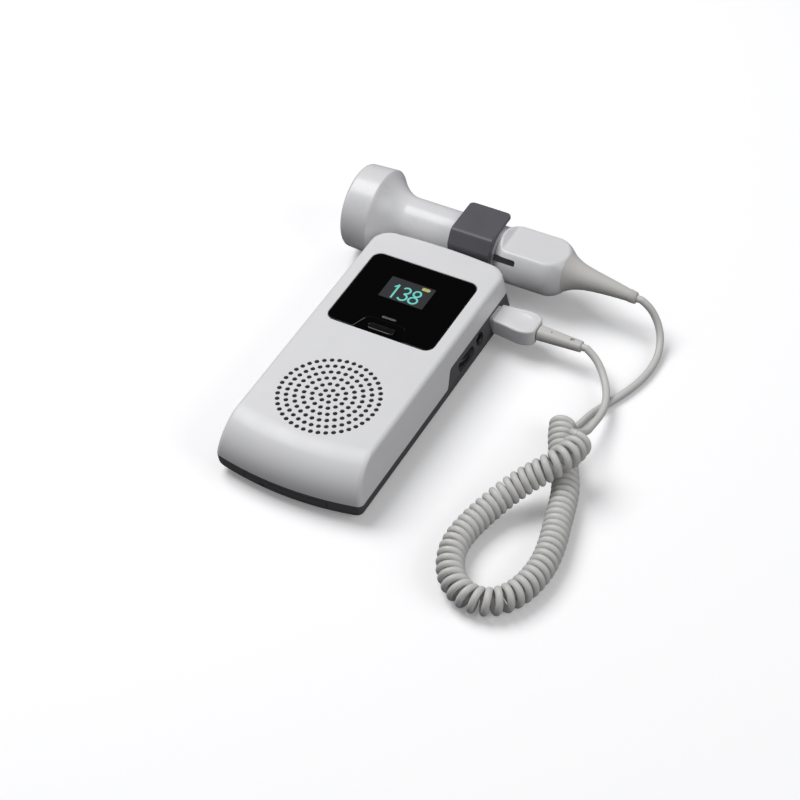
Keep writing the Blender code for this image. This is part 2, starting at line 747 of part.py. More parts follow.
def make_window():
    outline = rounded_rectangle(WINDOW_WIDTH / 2, WINDOW_LENGTH / 2, WINDOW_CORNER, (0, WINDOW_Y))
    window = prism("display_window", outline, WINDOW_BOTTOM, WINDOW_TOP)
    button_room = rounded_rectangle(BUTTON_LENGTH / 2 + GAP, BUTTON_WIDTH / 2 + GAP, BUTTON_WIDTH / 2,
                                    (0, BUTTON_Y), 3)
    light_room = rounded_rectangle(LIGHT_LENGTH / 2 + GAP, LIGHT_WIDTH / 2 + GAP, LIGHT_WIDTH / 2,
                                   (0, LIGHT_Y), 3)
    cut(window, prism("arch", arch_outline(), WINDOW_TOP - ARCH_DEPTH, WINDOW_TOP + OVERRUN),
        prism("button_room", button_room, WINDOW_BOTTOM - OVERRUN, WINDOW_TOP + OVERRUN),
        prism("light_room", light_room, WINDOW_BOTTOM - OVERRUN, WINDOW_TOP + OVERRUN))
    dress(window, finish("black window gloss", (0.01, 0.01, 0.012), 0.08))


def make_button():
    cap = rounded_rectangle(BUTTON_LENGTH / 2, BUTTON_WIDTH / 2, BUTTON_WIDTH / 2 - GAP, (0, BUTTON_Y), 3)
    top = WINDOW_TOP + BUTTON_PROUD
    edge = BUTTON_PROUD
    crown = rounded_rectangle(BUTTON_LENGTH / 2 - edge, BUTTON_WIDTH / 2 - edge,
                              BUTTON_WIDTH / 2 - GAP - edge, (0, BUTTON_Y), 3)
    flange_top = WINDOW_BOTTOM - GAP
    flange_low = flange_top - BUTTON_FLANGE_THICKNESS
    button = loft("power_button", [[(x, y, z) for x, y in ring] for ring, z in
                                   ((cap, flange_low), (cap, top - edge), (crown, top))])
    flange = rounded_rectangle(BUTTON_LENGTH / 2 + BUTTON_FLANGE, BUTTON_WIDTH / 2 + BUTTON_FLANGE,
                               BUTTON_WIDTH / 2, (0, BUTTON_Y), 3)
    stem_low = BOARD_TOP + GAP + SWITCH_HEIGHT + 2 * BUTTON_TRAVEL + GAP
    join(button, prism("flange", flange, flange_low, flange_top),
         cylinder("stem", SWITCH_PLUNGER_RADIUS, stem_low, flange_top - GAP, (0, BUTTON_Y)))
    dress(button, finish("black button", (0.015, 0.015, 0.017), 0.2))
    set_origin(button, (0, BUTTON_Y, WINDOW_TOP))


def make_light():
    bar = rounded_rectangle(LIGHT_LENGTH / 2, LIGHT_WIDTH / 2, LIGHT_WIDTH / 2 - GAP / 2, (0, LIGHT_Y), 3)
    foot = rounded_rectangle(LIGHT_LENGTH / 2 + LIGHT_TAIL / 2, LIGHT_WIDTH / 2 + LIGHT_TAIL / 2,
                             LIGHT_WIDTH / 2, (0, LIGHT_Y), 3)
    lens = prism("indicator_lens", bar, WINDOW_BOTTOM - GAP - LIGHT_TAIL, WINDOW_TOP)
    join(lens, prism("foot", foot, WINDOW_BOTTOM - GAP - LIGHT_TAIL, WINDOW_BOTTOM - GAP))
    dress(lens, finish("smoked light bar", (0.05, 0.05, 0.055), 0.15))


def make_display():
    high = WINDOW_BOTTOM - GAP
    low = high - PANEL_THICKNESS
    panel = box("display_panel", (-PANEL_WIDTH / 2, PANEL_Y - PANEL_LENGTH / 2, low),
                (PANEL_WIDTH / 2, PANEL_Y + PANEL_LENGTH / 2, high))
    dress(panel, finish("display glass", (0.03, 0.035, 0.04), 0.1))
    half = (PANEL_WIDTH / 2 + PANEL_RIM, PANEL_LENGTH / 2 + PANEL_RIM)
    frame = box("display_frame", (-half[0], PANEL_Y - half[1], BOARD_TOP + GAP),
                (half[0], PANEL_Y + half[1], low + PANEL_THICKNESS / 2))
    seat = (PANEL_WIDTH / 2 + GAP, PANEL_LENGTH / 2 + GAP)
    inner = (PANEL_WIDTH / 2 - PANEL_RIM, PANEL_LENGTH / 2 - PANEL_RIM)
    cut(frame, box("seat", (-seat[0], PANEL_Y - seat[1], low - GAP), (seat[0], PANEL_Y + seat[1], high)),
        box("inner", (-inner[0], PANEL_Y - inner[1], BOARD_Z), (inner[0], PANEL_Y + inner[1], high)))
    dress(frame, finish("display carrier plastic", (0.6, 0.6, 0.58), 0.5))


def make_speaker():
    centre = (0, GRILLE_Y)
    ceiling = CASE_TOP - TOP_WALL
    gauze_top = ceiling - GAP
    gauze_low = gauze_top - GAUZE_THICKNESS
    dress(cylinder("grille_gauze", SPEAKER_RADIUS, gauze_low, gauze_top, centre, sides=20),
          finish("black gauze", (0.02, 0.02, 0.02), 0.9))
    gasket_top = gauze_low - GAP
    gasket_low = gasket_top - GASKET_THICKNESS
    gasket = cylinder("speaker_gasket", SPEAKER_RADIUS, gasket_low, gasket_top, centre, sides=20)
    cut(gasket, cylinder("hole", SPEAKER_RADIUS - GASKET_WIDTH, gasket_low - OVERRUN, gasket_top + OVERRUN,
                         centre, sides=20))
    dress(gasket, finish("foam gasket", (0.05, 0.05, 0.05), 0.9))
    flange_top = gasket_low - GAP
    basket_low = bay_box()[1][2] + BAY_WALL + GAP
    magnet_top = basket_low + MAGNET_THICKNESS
    back = magnet_top + GAP
    frame = turned_up("speaker_frame", [
        (SPEAKER_RADIUS, flange_top), (SPEAKER_RADIUS, flange_top - SPEAKER_FLANGE_THICKNESS),
        (SPEAKER_RADIUS - GASKET_WIDTH, flange_top - SPEAKER_FLANGE_THICKNESS),
        (SPEAKER_RADIUS - 2 * GASKET_WIDTH, back), (CONE_DOME_RADIUS / 2, back),
        (CONE_DOME_RADIUS / 2, back + SPEAKER_BASKET_WALL),
        (SPEAKER_RADIUS - 2 * GASKET_WIDTH - SPEAKER_BASKET_WALL, back + SPEAKER_BASKET_WALL),
        (SPEAKER_RADIUS - GASKET_WIDTH - SPEAKER_BASKET_WALL, flange_top),
    ], centre)
    dress(frame, finish("pressed steel basket", (0.45, 0.45, 0.46), 0.35, 1.0))
    rim = SPEAKER_RADIUS - GASKET_WIDTH - SPEAKER_BASKET_WALL - 2 * GAP
    cone_rim = gasket_low
    cone_low = cone_rim - CONE_DEPTH
    cone = turned_up("speaker_cone", [
        (rim, cone_rim), (rim - GASKET_WIDTH, cone_rim), (CONE_DOME_RADIUS, cone_low + CONE_THICKNESS),
        (0, cone_low + CONE_THICKNESS + CONE_DEPTH / 2), (0, cone_low), (CONE_DOME_RADIUS, cone_low),
        (rim - GASKET_WIDTH, cone_rim - CONE_THICKNESS), (rim, cone_rim - CONE_THICKNESS),
    ], centre)
    dress(cone, finish("coated paper cone", (0.03, 0.03, 0.03), 0.7))
    dress(cylinder("speaker_magnet", MAGNET_RADIUS, basket_low, magnet_top, centre, sides=20),
          finish("magnet steel", (0.5, 0.5, 0.52), 0.3, 1.0))


def turned_up(name, profile, centre, sides=20):
    """Turn (radius, z) points about a vertical axis through centre = (x, y)."""
    piece = turned(name, [(z, radius) for radius, z in profile], (0, 0), sides, closed=profile[0][0] > 0)
    piece.data.transform(Matrix(((0, 1, 0, centre[0]), (0, 0, 1, centre[1]), (1, 0, 0, 0), (0, 0, 0, 1))))
    return piece


def make_board():
    mid = (BOARD_HEAD_Y + BOARD_FOOT_Y) / 2
    half = (BOARD_HALF_WIDTH, (BOARD_HEAD_Y - BOARD_FOOT_Y) / 2)
    outline = rounded_rectangle(*half, BOARD_CORNER, (0, mid), 3)
    board = prism("main_board", outline, BOARD_Z, BOARD_TOP)
    for side in (-1, 1):
        for x, y in ((HEAD_SCREW_X, HEAD_SCREW_Y), (BOARD_POST_X, BOARD_POST_Y)):
            cut(board, cylinder("hole", SCREW_RADIUS + GAP, BOARD_Z - OVERRUN, BOARD_TOP + OVERRUN,
                                (side * x, y), sides=8))
    dress(board, finish("green board", (0.03, 0.16, 0.07), 0.5))
    switch_low = BOARD_TOP + GAP
    half = SWITCH_SIZE / 2
    switch = box("power_switch", (-half, BUTTON_Y - half, switch_low),
                 (half, BUTTON_Y + half, switch_low + SWITCH_HEIGHT))
    join(switch, cylinder("plunger", SWITCH_PLUNGER_RADIUS, switch_low + SWITCH_HEIGHT / 2,
                          switch_low + SWITCH_HEIGHT + BUTTON_TRAVEL, (0, BUTTON_Y)))
    dress(switch, finish("switch can", (0.25, 0.25, 0.26), 0.35))
    steel = finish("board screw steel", (0.6, 0.6, 0.62), 0.3, 1.0)
    for number, side in ((1, -1), (2, 1)):
        place = (side * BOARD_POST_X, BOARD_POST_Y)
        shank = cylinder("shank", SCREW_RADIUS, SCREW_SEAT + OVERRUN, BOARD_TOP + GAP + SCREW_HEAD_HEIGHT / 2,
                         place, sides=8)
        head = cylinder(f"board_screw_{number}", SCREW_HEAD_RADIUS, BOARD_TOP + GAP,
                        BOARD_TOP + GAP + SCREW_HEAD_HEIGHT, place)
        dress(join(head, shank), steel)


def make_case_screws():
    steel = finish("case screw steel", (0.6, 0.6, 0.62), 0.3, 1.0)
    top = CASE_TOP - TOP_WALL - OVERRUN - GAP
    for number, (x, y) in enumerate(screw_places(), 1):
        head = cylinder(f"case_screw_{number}", SCREW_HEAD_RADIUS, SCREW_SEAT - GAP - SCREW_HEAD_HEIGHT,
                        SCREW_SEAT - GAP, (x, y))
        shank = cylinder("shank", SCREW_RADIUS, SCREW_SEAT - GAP - SCREW_HEAD_HEIGHT / 2, top, (x, y),
                         sides=8)
        cross = box("cross", (x - SCREW_RADIUS, y - SCREW_RADIUS / 4, 0),
                    (x + SCREW_RADIUS, y + SCREW_RADIUS / 4, SCREW_SEAT - GAP - SCREW_HEAD_HEIGHT / 2))
        other = box("cross", (x - SCREW_RADIUS / 4, y - SCREW_RADIUS, 0),
                    (x + SCREW_RADIUS / 4, y + SCREW_RADIUS, SCREW_SEAT - GAP - SCREW_HEAD_HEIGHT / 2))
        dress(cut(join(head, shank), join(cross, other)), steel)


def wheel_centre():
    return wall_x(WHEEL_Z) + WHEEL_PROUD - WHEEL_RADIUS


def make_wheel():
    x = wheel_centre()
    low = WHEEL_Z - WHEEL_THICKNESS / 2
    high = WHEEL_Z + WHEEL_THICKNESS / 2
    count = 4 * WHEEL_RIBS
    rim = [(x + (WHEEL_RADIUS - (WHEEL_RIB if i % 4 > 1 else 0)) * math.cos(math.tau * i / count),
            WHEEL_Y + (WHEEL_RADIUS - (WHEEL_RIB if i % 4 > 1 else 0)) * math.sin(math.tau * i / count))
           for i in range(count)]
    wheel = prism("volume_wheel", rim, low, high)
    cut(wheel, cylinder("bore", POT_SHAFT_RADIUS + GAP, low - OVERRUN, high + OVERRUN, (x, WHEEL_Y),
                        sides=16))
    dress(wheel, finish("black thumbwheel", (0.03, 0.03, 0.033), 0.5))
    set_origin(wheel, (x, WHEEL_Y, WHEEL_Z))
    body_low = high + GAP
    half = POT_SIZE / 2
    pot = box("volume_potentiometer", (x - half, WHEEL_Y - half, body_low),
              (x + half, WHEEL_Y + half, BOARD_Z - GAP))
    join(pot, cylinder("shaft", POT_SHAFT_RADIUS, low, body_low + GAP, (x, WHEEL_Y), sides=16))
    dress(pot, finish("potentiometer case", (0.12, 0.1, 0.08), 0.5))


def make_jack():
    inner = TOP_HALF_WIDTH - WALL
    face = wall_x(JACK_Z) - GAP
    half = JACK_BODY_WIDTH / 2
    top = BOARD_Z - GAP
    jack = box("headphone_jack", (inner - JACK_BODY_LENGTH, JACK_Y - half, top - JACK_BODY_DEPTH),
               (inner, JACK_Y + half, top))
    join(jack, cylinder("collar", JACK_COLLAR_RADIUS, inner - OVERRUN, face, (JACK_Y, JACK_Z), "X", 16))
    cut(jack, cylinder("bore", JACK_BORE_RADIUS, inner - JACK_BODY_LENGTH + OVERRUN, face + OVERRUN,
                       (JACK_Y, JACK_Z), "X", 12))
    dress(jack, finish("black jack plastic", (0.02, 0.02, 0.022), 0.4))


def socket_face():
    """Mouth of the socket, just inside the port wall."""
    return PORT_FACE - PLUG_NOSE_DEPTH - GAP


def make_socket():
    face = socket_face()
    back = face - SOCKET_DEPTH
    width = PLUG_NOSE_HALF_WIDTH
    low = PLUG_Z - PLUG_NOSE_HALF_HEIGHT
    socket = box("probe_socket", (back, PLUG_Y - width, low), (face, PLUG_Y + width, BOARD_Z - GAP))
    room = (TONGUE_HALF_WIDTH + GAP, TONGUE_HALF_HEIGHT + GAP)
    cut(socket, box("room", (back + SOCKET_WALL, PLUG_Y - room[0], PLUG_Z - room[1]),
                    (face + OVERRUN, PLUG_Y + room[0], PLUG_Z + room[1])))
    dress(socket, finish("socket plastic", (0.03, 0.03, 0.033), 0.45))


def make_battery():
    bay = bay_box()
    z = DOOR_THICKNESS + GAP + CELL_RADIUS
    start = bay[0][1] + SPRING_ROOM + GAP
    spring_steel = finish("spring steel", (0.6, 0.6, 0.62), 0.25, 1.0)
    nickel = finish("nickel plate", (0.65, 0.62, 0.55), 0.3, 1.0)
    for number, side in ((1, -1), (2, 1)):
        x = side * (CELL_RADIUS + GAP / 2)
        profile = [(0, 0), (0, CELL_RADIUS - CELL_EDGE), (CELL_EDGE, CELL_RADIUS),
                   (CELL_LENGTH - CELL_EDGE, CELL_RADIUS), (CELL_LENGTH, CELL_RADIUS - CELL_EDGE),
                   (CELL_LENGTH, CELL_NUB_RADIUS), (CELL_LENGTH + CELL_NUB_LENGTH, CELL_NUB_RADIUS),
                   (CELL_LENGTH + CELL_NUB_LENGTH, 0)]
        cell = turned(f"battery_{number}", profile, (0, 0), 18)
        cell.data.transform(Matrix(((0, 1, 0, x), (1, 0, 0, start), (0, 0, 1, z), (0, 0, 0, 1))))
        cell.data.flip_normals()
        dress(cell, finish(f"cell wrap {number}", (0.10, 0.12, 0.16), 0.4, 0.3))
        count = SPRING_TURNS * 8
        length = SPRING_ROOM - 2 * GAP - SPRING_WIRE
        coil = [Vector((x + SPRING_RADIUS * math.cos(math.tau * i / 8),
                        bay[0][1] + GAP + SPRING_WIRE / 2 + length * i / count,
                        z + SPRING_RADIUS * math.sin(math.tau * i / 8))) for i in range(count + 1)]
        tube(f"contact_spring_{number}", coil, SPRING_WIRE, 0).data.materials.append(spring_steel)
        far = bay[1][1] - GAP
        half = PLATE_WIDTH / 2
        plate = box(f"contact_plate_{number}", (x - half, far - PLATE_THICKNESS, z - half),
                    (x + half, far, z + half))
        dress(plate, nickel)


def holder_screw_places():
    mid = HOLDER_X + HOLDER_WIDTH / 2
    return mid - HOLDER_SCREW_SPACING / 2, mid + HOLDER_SCREW_SPACING / 2


def make_holder():
    inner = NECK_RADIUS + HOLDER_CLEARANCE
    outer = inner + HOLDER_ARM
    top = PROBE_Z + outer
    low = PROBE_Z - outer
    top_inner = PROBE_Z + inner
    low_inner = PROBE_Z - inner
    foot_z = HOLDER_SCREW_Z - BOSS_RADIUS
    spine_low = HEAD_PARTING_Y + GAP
    spine_top = head_y(CASE_TOP) + GAP + TOP_FILLET / 2
    upper_end = PROBE_Y + HOLDER_UPPER_REACH
    lower_end = PROBE_Y + HOLDER_LOWER_REACH
    corner = HOLDER_CORNER
    outline = [(lower_end, low), (lower_end + corner / 2, low + corner / 2), (lower_end, low_inner)]
    steps = 10
    for i in range(steps + 1):
        angle = -math.pi / 2 - math.pi * i / steps
        outline.append((PROBE_Y + inner * math.cos(angle), PROBE_Z + inner * math.sin(angle)))
    outline += [(upper_end - corner / 2, top_inner), (upper_end, top_inner + corner / 2),
                (upper_end, top - corner), (upper_end - corner / 3, top - corner / 3),
                (upper_end - corner, top)]
    shoulder_y = PROBE_Y - inner * 0.72
    outline += [(shoulder_y, top), (shoulder_y - 1.2 * corner, top - 0.35 * corner),
                (shoulder_y - 2.0 * corner, top - 1.15 * corner), (spine_top, CASE_TOP + corner),
                (spine_top, CASE_TOP - TOP_FILLET), (spine_low, PARTING + corner), (spine_low, foot_z),
                (spine_low + 2 * corner, low)]
    holder = prism("probe_holder", outline, HOLDER_X, HOLDER_X + HOLDER_WIDTH, "X")
    steel = finish("holder screw steel", (0.6, 0.6, 0.62), 0.3, 1.0)
    for number, x in enumerate(holder_screw_places(), 1):
        wall = head_y(HOLDER_SCREW_Z, x)
        cut(holder, cylinder("pilot", SCREW_RADIUS + GAP, wall - OVERRUN, wall + HOLDER_SCREW_GRIP,
                             (x, HOLDER_SCREW_Z), "Y", 8))
        head_face = wall - WALL - GAP
        head = cylinder(f"holder_screw_{number}", SCREW_HEAD_RADIUS, head_face - SCREW_HEAD_HEIGHT, head_face,
                        (x, HOLDER_SCREW_Z), "Y")
        shank = cylinder("shank", SCREW_RADIUS, head_face - SCREW_HEAD_HEIGHT / 2,
                         wall + HOLDER_SCREW_GRIP - GAP, (x, HOLDER_SCREW_Z), "Y", 8)
        dress(join(head, shank), steel)
    dress(holder, finish("slate holder plastic", SLATE, 0.5))


def flare(x):
    share = min(1, max(0, (x - RIM_X) / FLARE_LENGTH))
    return NECK_RADIUS + (RIM_RADIUS - NECK_RADIUS) * (1 - share) ** FLARE_POWER


def handle_radius(x):
    """Swell from the neck, straight grip, rounded shoulder, then the long taper of the boot."""
    if x < NECK_END_X + HANDLE_SWELL:
        share = (x - NECK_END_X) / HANDLE_SWELL
        return NECK_RADIUS + (HANDLE_RADIUS - NECK_RADIUS) * math.sin(share * math.pi / 2)
    if x < HANDLE_SHOULDER_X:
        return HANDLE_RADIUS
    if x < HANDLE_END_X:
        share = (x - HANDLE_SHOULDER_X) / (HANDLE_END_X - HANDLE_SHOULDER_X)
        return HANDLE_RADIUS - (HANDLE_RADIUS - HANDLE_END_RADIUS) * share ** 2
    share = (x - HANDLE_END_X) / (BOOT_END_X - HANDLE_END_X)
    return BOOT_END_RADIUS + (HANDLE_END_RADIUS - BOOT_END_RADIUS) * (1 - share) ** BOOT_POWER


def make_probe():
    axis = (PROBE_Y, PROBE_Z)
    joint = (0, PROBE_Y, PROBE_Z)
    front = FACE_X + FACE_THICKNESS + GAP
    outer = [(front, HEAD_RADIUS), (RIM_X - 2 * RIM_EDGE, RIM_RADIUS),
             (RIM_X - 0.6 * RIM_EDGE, RIM_RADIUS - RIM_EDGE / 5), (RIM_X, RIM_RADIUS - RIM_EDGE)]
    steps = 6
    for i in range(1, steps + 1):
        x = RIM_X + FLARE_LENGTH * i / steps
        outer.append((x, min(flare(x), RIM_RADIUS - RIM_EDGE)))
    outer.append((NECK_END_X, NECK_RADIUS))
    bowl = HEAD_RADIUS - PROBE_WALL
    floor_x = RIM_X - RIM_EDGE
    inner = [(NECK_END_X, NECK_RADIUS - PROBE_WALL), (RIM_X + FLARE_LENGTH, NECK_RADIUS - PROBE_WALL),
             (floor_x + PROBE_WALL, NECK_RADIUS - PROBE_WALL), (floor_x, bowl), (front, bowl)]
    shell = turned("probe_head_shell", outer + inner, axis, closed=True)
    dress(shell, finish("white probe plastic", WHITE, 0.38))
    set_origin(shell, joint)

    face = turned("probe_face", [
        (FACE_X, 0), (FACE_X, HEAD_RADIUS - FACE_EDGE), (FACE_X + FACE_EDGE / 4, HEAD_RADIUS - FACE_EDGE / 3),
        (FACE_X + FACE_THICKNESS / 2, HEAD_RADIUS), (FACE_X + FACE_THICKNESS, HEAD_RADIUS),
        (FACE_X + FACE_THICKNESS, bowl - GAP), (FACE_X + 2 * FACE_THICKNESS, bowl - GAP),
        (FACE_X + 2 * FACE_THICKNESS, bowl - PROBE_WALL), (FACE_X + FACE_THICKNESS, bowl - PROBE_WALL),
        (FACE_X + FACE_THICKNESS, 0)], axis)
    dress(face, finish("pearl transducer face", PEARL, 0.3))
    set_origin(face, joint)

    crystal_low = FACE_X + FACE_THICKNESS + GAP
    crystal_high = crystal_low + CRYSTAL_THICKNESS
    places = [axis] + circle(CRYSTAL_CIRCLE, CRYSTAL_COUNT, axis)
    crystals = cylinder("probe_crystals", CRYSTAL_CIRCLE + CRYSTAL_RADIUS / 2,
                        crystal_high - CRYSTAL_THICKNESS / 3, crystal_high, axis, "X", 20)
    elements = [cylinder("crystal", CRYSTAL_RADIUS, crystal_low, crystal_high - GAP, place, "X", 8)
                for place in places]
    join(crystals, gather("crystals", elements))
    dress(crystals, finish("piezo ceramic", (0.55, 0.5, 0.4), 0.5))
    set_origin(crystals, joint)
    backing_low = crystal_high + GAP
    backing = cylinder("probe_backing", bowl - PROBE_WALL - GAP, backing_low, backing_low + BACKING_THICKNESS,
                       axis, "X", 20)
    dress(backing, finish("backing foam", (0.1, 0.1, 0.1), 0.9))
    set_origin(backing, joint)
    half = NECK_RADIUS - PROBE_WALL - GAP
    board_start = NECK_END_X - PROBE_BOARD_LENGTH
    thick = PROBE_BOARD_THICKNESS / 2
    edge = math.sqrt(half ** 2 - thick ** 2)
    board = box("probe_board", (board_start, PROBE_Y - edge, PROBE_Z - thick),
                (NECK_END_X, PROBE_Y + edge, PROBE_Z + thick))
    dress(board, finish("probe board green", (0.03, 0.16, 0.07), 0.5))
    set_origin(board, joint)

    start = NECK_END_X + GAP
    stations = [start + HANDLE_SWELL * i / 5 for i in range(6)]
    shoulder = HANDLE_END_X - HANDLE_SHOULDER_X
    stations += [HANDLE_SHOULDER_X + shoulder * i / 5 for i in range(6)]
    profile = [(start, 0)] + [(x, handle_radius(x)) for x in stations] + [(HANDLE_END_X, 0)]
    handle = turned("probe_handle", profile, axis, 30)
    bore = NECK_RADIUS - PROBE_WALL
    cut(handle, cylinder("hollow", bore, start - OVERRUN, HANDLE_END_X - 2 * PROBE_WALL, axis, "X", 16))
    ramp_top = FACET_HEIGHT + FACET_RAMP
    over = HANDLE_RADIUS + OVERRUN
    facet = [(FACET_START_X, FACET_HEIGHT), (HANDLE_END_X + OVERRUN, FACET_HEIGHT),
             (HANDLE_END_X + OVERRUN, over), (FACET_START_X - FACET_RAMP, over),
             (FACET_START_X - FACET_RAMP, ramp_top)]
    cutter = prism("facet", [(x, PROBE_Z + z) for x, z in facet], PROBE_Y - over, PROBE_Y + over, "Y")
    cut(handle, cutter)
    groove = box("groove", (start - OVERRUN, -over, -GROOVE_HALF_HEIGHT),
                 (GROOVE_END_X, -(HANDLE_RADIUS - GROOVE_DEPTH), GROOVE_HALF_HEIGHT))
    groove.data.transform(Matrix.Translation(joint) @ Matrix.Rotation(-GROOVE_ANGLE, 4, "X"))
    cut(handle, groove)
    dress(handle, finish("white handle plastic", WHITE, 0.38))
    set_origin(handle, joint)

    boot_start = HANDLE_END_X + GAP
    rings = []
    count = 7
    for i in range(count + 1):
        x = boot_start + (BOOT_END_X - boot_start) * i / count
        share = i / count
        drop = BOOT_DROOP * share ** 2
        rings.append([(x, y, z - drop) for y, z in circle(handle_radius(x), 24, axis)])
    boot = loft("probe_boot", rings)
    cut(boot, box("facet", (boot_start - OVERRUN, PROBE_Y - over, PROBE_Z + FACET_HEIGHT),
                  (BOOT_END_X, PROBE_Y + over, PROBE_Z + over)))
    dress(boot, finish("soft boot grey", WARM_GREY, 0.6))
    set_origin(boot, joint)


def make_plug():
    """Plug body: a nose in the socket, a body that widens to a round end, and a tapered boot."""
    start = PORT_FACE + GAP
    centre = (0, PLUG_Y, PLUG_Z)
    shares = [(0.0, 0.76, 0.95), (0.02, 0.80, 1.0), (0.30, 0.87, 1.0), (0.58, 0.98, 1.0), (0.72, 1.0, 1.0),
              (0.84, 0.95, 0.99), (0.94, 0.80, 0.96), (1.0, 0.56, 0.90)]
    rings = []
    for along_share, width_share, height_share in shares:
        half = (PLUG_HALF_WIDTH * width_share, PLUG_HALF_HEIGHT * height_share)
        x = start + PLUG_BODY_LENGTH * along_share
        rings.append([(x, y, z) for y, z in rounded_rectangle(*half, half[1] / 2, (PLUG_Y, PLUG_Z), 3)])
    shell = loft("connector_shell", rings)
    nose = rounded_rectangle(PLUG_NOSE_HALF_WIDTH, PLUG_NOSE_HALF_HEIGHT, PLUG_NOSE_HALF_HEIGHT / 2,
                             (PLUG_Y, PLUG_Z), 3)
    join(shell, prism("nose", nose, start - PLUG_NOSE_DEPTH, start + OVERRUN, "X"))
    rise = PLUG_DIMPLE_WIDTH / 2
    dimple = bmesh.new()
    bmesh.ops.create_uvsphere(dimple, u_segments=20, v_segments=8, radius=1.0)
    top = PLUG_Z + PLUG_HALF_HEIGHT
    depth = PLUG_DIMPLE_DEPTH
    stretch = Matrix.Diagonal((PLUG_DIMPLE_LENGTH / 2, rise, depth, 1.0))
    place = Matrix.Translation((start + PLUG_DIMPLE_INSET, PLUG_Y, top))
    bmesh.ops.transform(dimple, matrix=place @ stretch, verts=dimple.verts)
    cut(shell, mesh_object("dimple", dimple))
    cut(shell, cylinder("tongue_seat", TONGUE_HALF_HEIGHT, start - PLUG_NOSE_DEPTH - OVERRUN, start,
                        (PLUG_Y, PLUG_Z), "X", 10))
    dress(shell, finish("plug white plastic", WHITE, 0.4))
    set_origin(shell, centre)

    nose_face = start - PLUG_NOSE_DEPTH - GAP
    half = (TONGUE_HALF_WIDTH, TONGUE_HALF_HEIGHT)
    tongue = box("connector_tongue", (nose_face - TONGUE_LENGTH, PLUG_Y - half[0], PLUG_Z - half[1]),
                 (nose_face, PLUG_Y + half[0], PLUG_Z + half[1]))
    join(tongue, cylinder("root", TONGUE_HALF_HEIGHT - GAP, nose_face - OVERRUN, start - GAP,
                          (PLUG_Y, PLUG_Z), "X", 10))
    dress(tongue, finish("contact tongue", (0.55, 0.5, 0.35), 0.35, 0.8))
    set_origin(tongue, centre)

    boot_start = start + PLUG_BODY_LENGTH + GAP
    boot_end = boot_start + PLUG_BOOT_LENGTH
    boot = turned("connector_boot", [
        (boot_start, 0), (boot_start, PLUG_BOOT_START_RADIUS - PLUG_BOOT_EDGE),
        (boot_start + PLUG_BOOT_EDGE, PLUG_BOOT_START_RADIUS),
        (boot_end - PLUG_BOOT_EDGE, PLUG_BOOT_END_RADIUS),
        (boot_end, PLUG_BOOT_END_RADIUS - PLUG_BOOT_EDGE), (boot_end, 0)], (PLUG_Y, PLUG_Z), 20)
    dress(boot, finish("soft plug boot grey", WARM_GREY, 0.6))
    set_origin(boot, centre)
    return boot_end


def coil_points():
    """The curls of the cord: a helix about its route, opened on the outside of each bend."""
    mean = COIL_OUTER_RADIUS - COIL_WIRE / 2
    spine = eased(smooth_path(COIL_ROUTE, COIL_WIRE / 6), COIL_EASE_ROUNDS)
    tangents = [(b - a).normalized() for a, b in zip(spine, spine[1:])]
    tangents.append(tangents[-1])
    up = Vector((0, 0, 1))
    normal = (up - tangents[0] * up.dot(tangents[0])).normalized()
    frames = []
    phases = [0.0]
    for i, tangent in enumerate(tangents):
        normal = (normal - tangent * normal.dot(tangent)).normalized()
        frames.append((normal.copy(), tangent.cross(normal)))
        if i:
            step = (spine[i] - spine[i - 1]).length
            low = max(0, i - COIL_BEND_SAMPLES)
            high = min(len(tangents) - 1, i + COIL_BEND_SAMPLES)
            run = (high - low) * step
            bend = tangents[low].angle(tangents[high]) / run
            phases.append(phases[-1] + step / (COIL_CLOSED_PITCH * (1 + mean * bend)))
    curls = round(phases[-1])
    scale = curls / phases[-1]
    total = curls * COIL_POINTS_PER_CURL
    points = []
    place = 0
    for i in range(total + 1):
        phase = i / COIL_POINTS_PER_CURL
        while place < len(phases) - 2 and phases[place + 1] * scale < phase:
            place += 1
        span = (phases[place + 1] - phases[place]) * scale
        share = min(1, max(0, (phase - phases[place] * scale) / span))
        middle = spine[place].lerp(spine[place + 1], share)
        open_share = min(1, phase / COIL_RAMP_CURLS, (curls - phase) / COIL_RAMP_CURLS)
        radius = mean * math.sin(open_share * math.pi / 2)
        first, second = frames[place]
        angle = math.tau * phase
        middle = middle - up * (mean - radius)
        points.append(middle + (first * -math.cos(angle) + second * math.sin(angle)) * radius)
    return points, curls


def least_gap(points, wire):
    """Least room between neighbouring curls, from the distance between points over half a curl apart."""
    away = COIL_POINTS_PER_CURL // 2 + 1
    least = min((points[i] - points[j]).length
                for i in range(len(points)) for j in range(i + away, len(points)))
    return least - wire


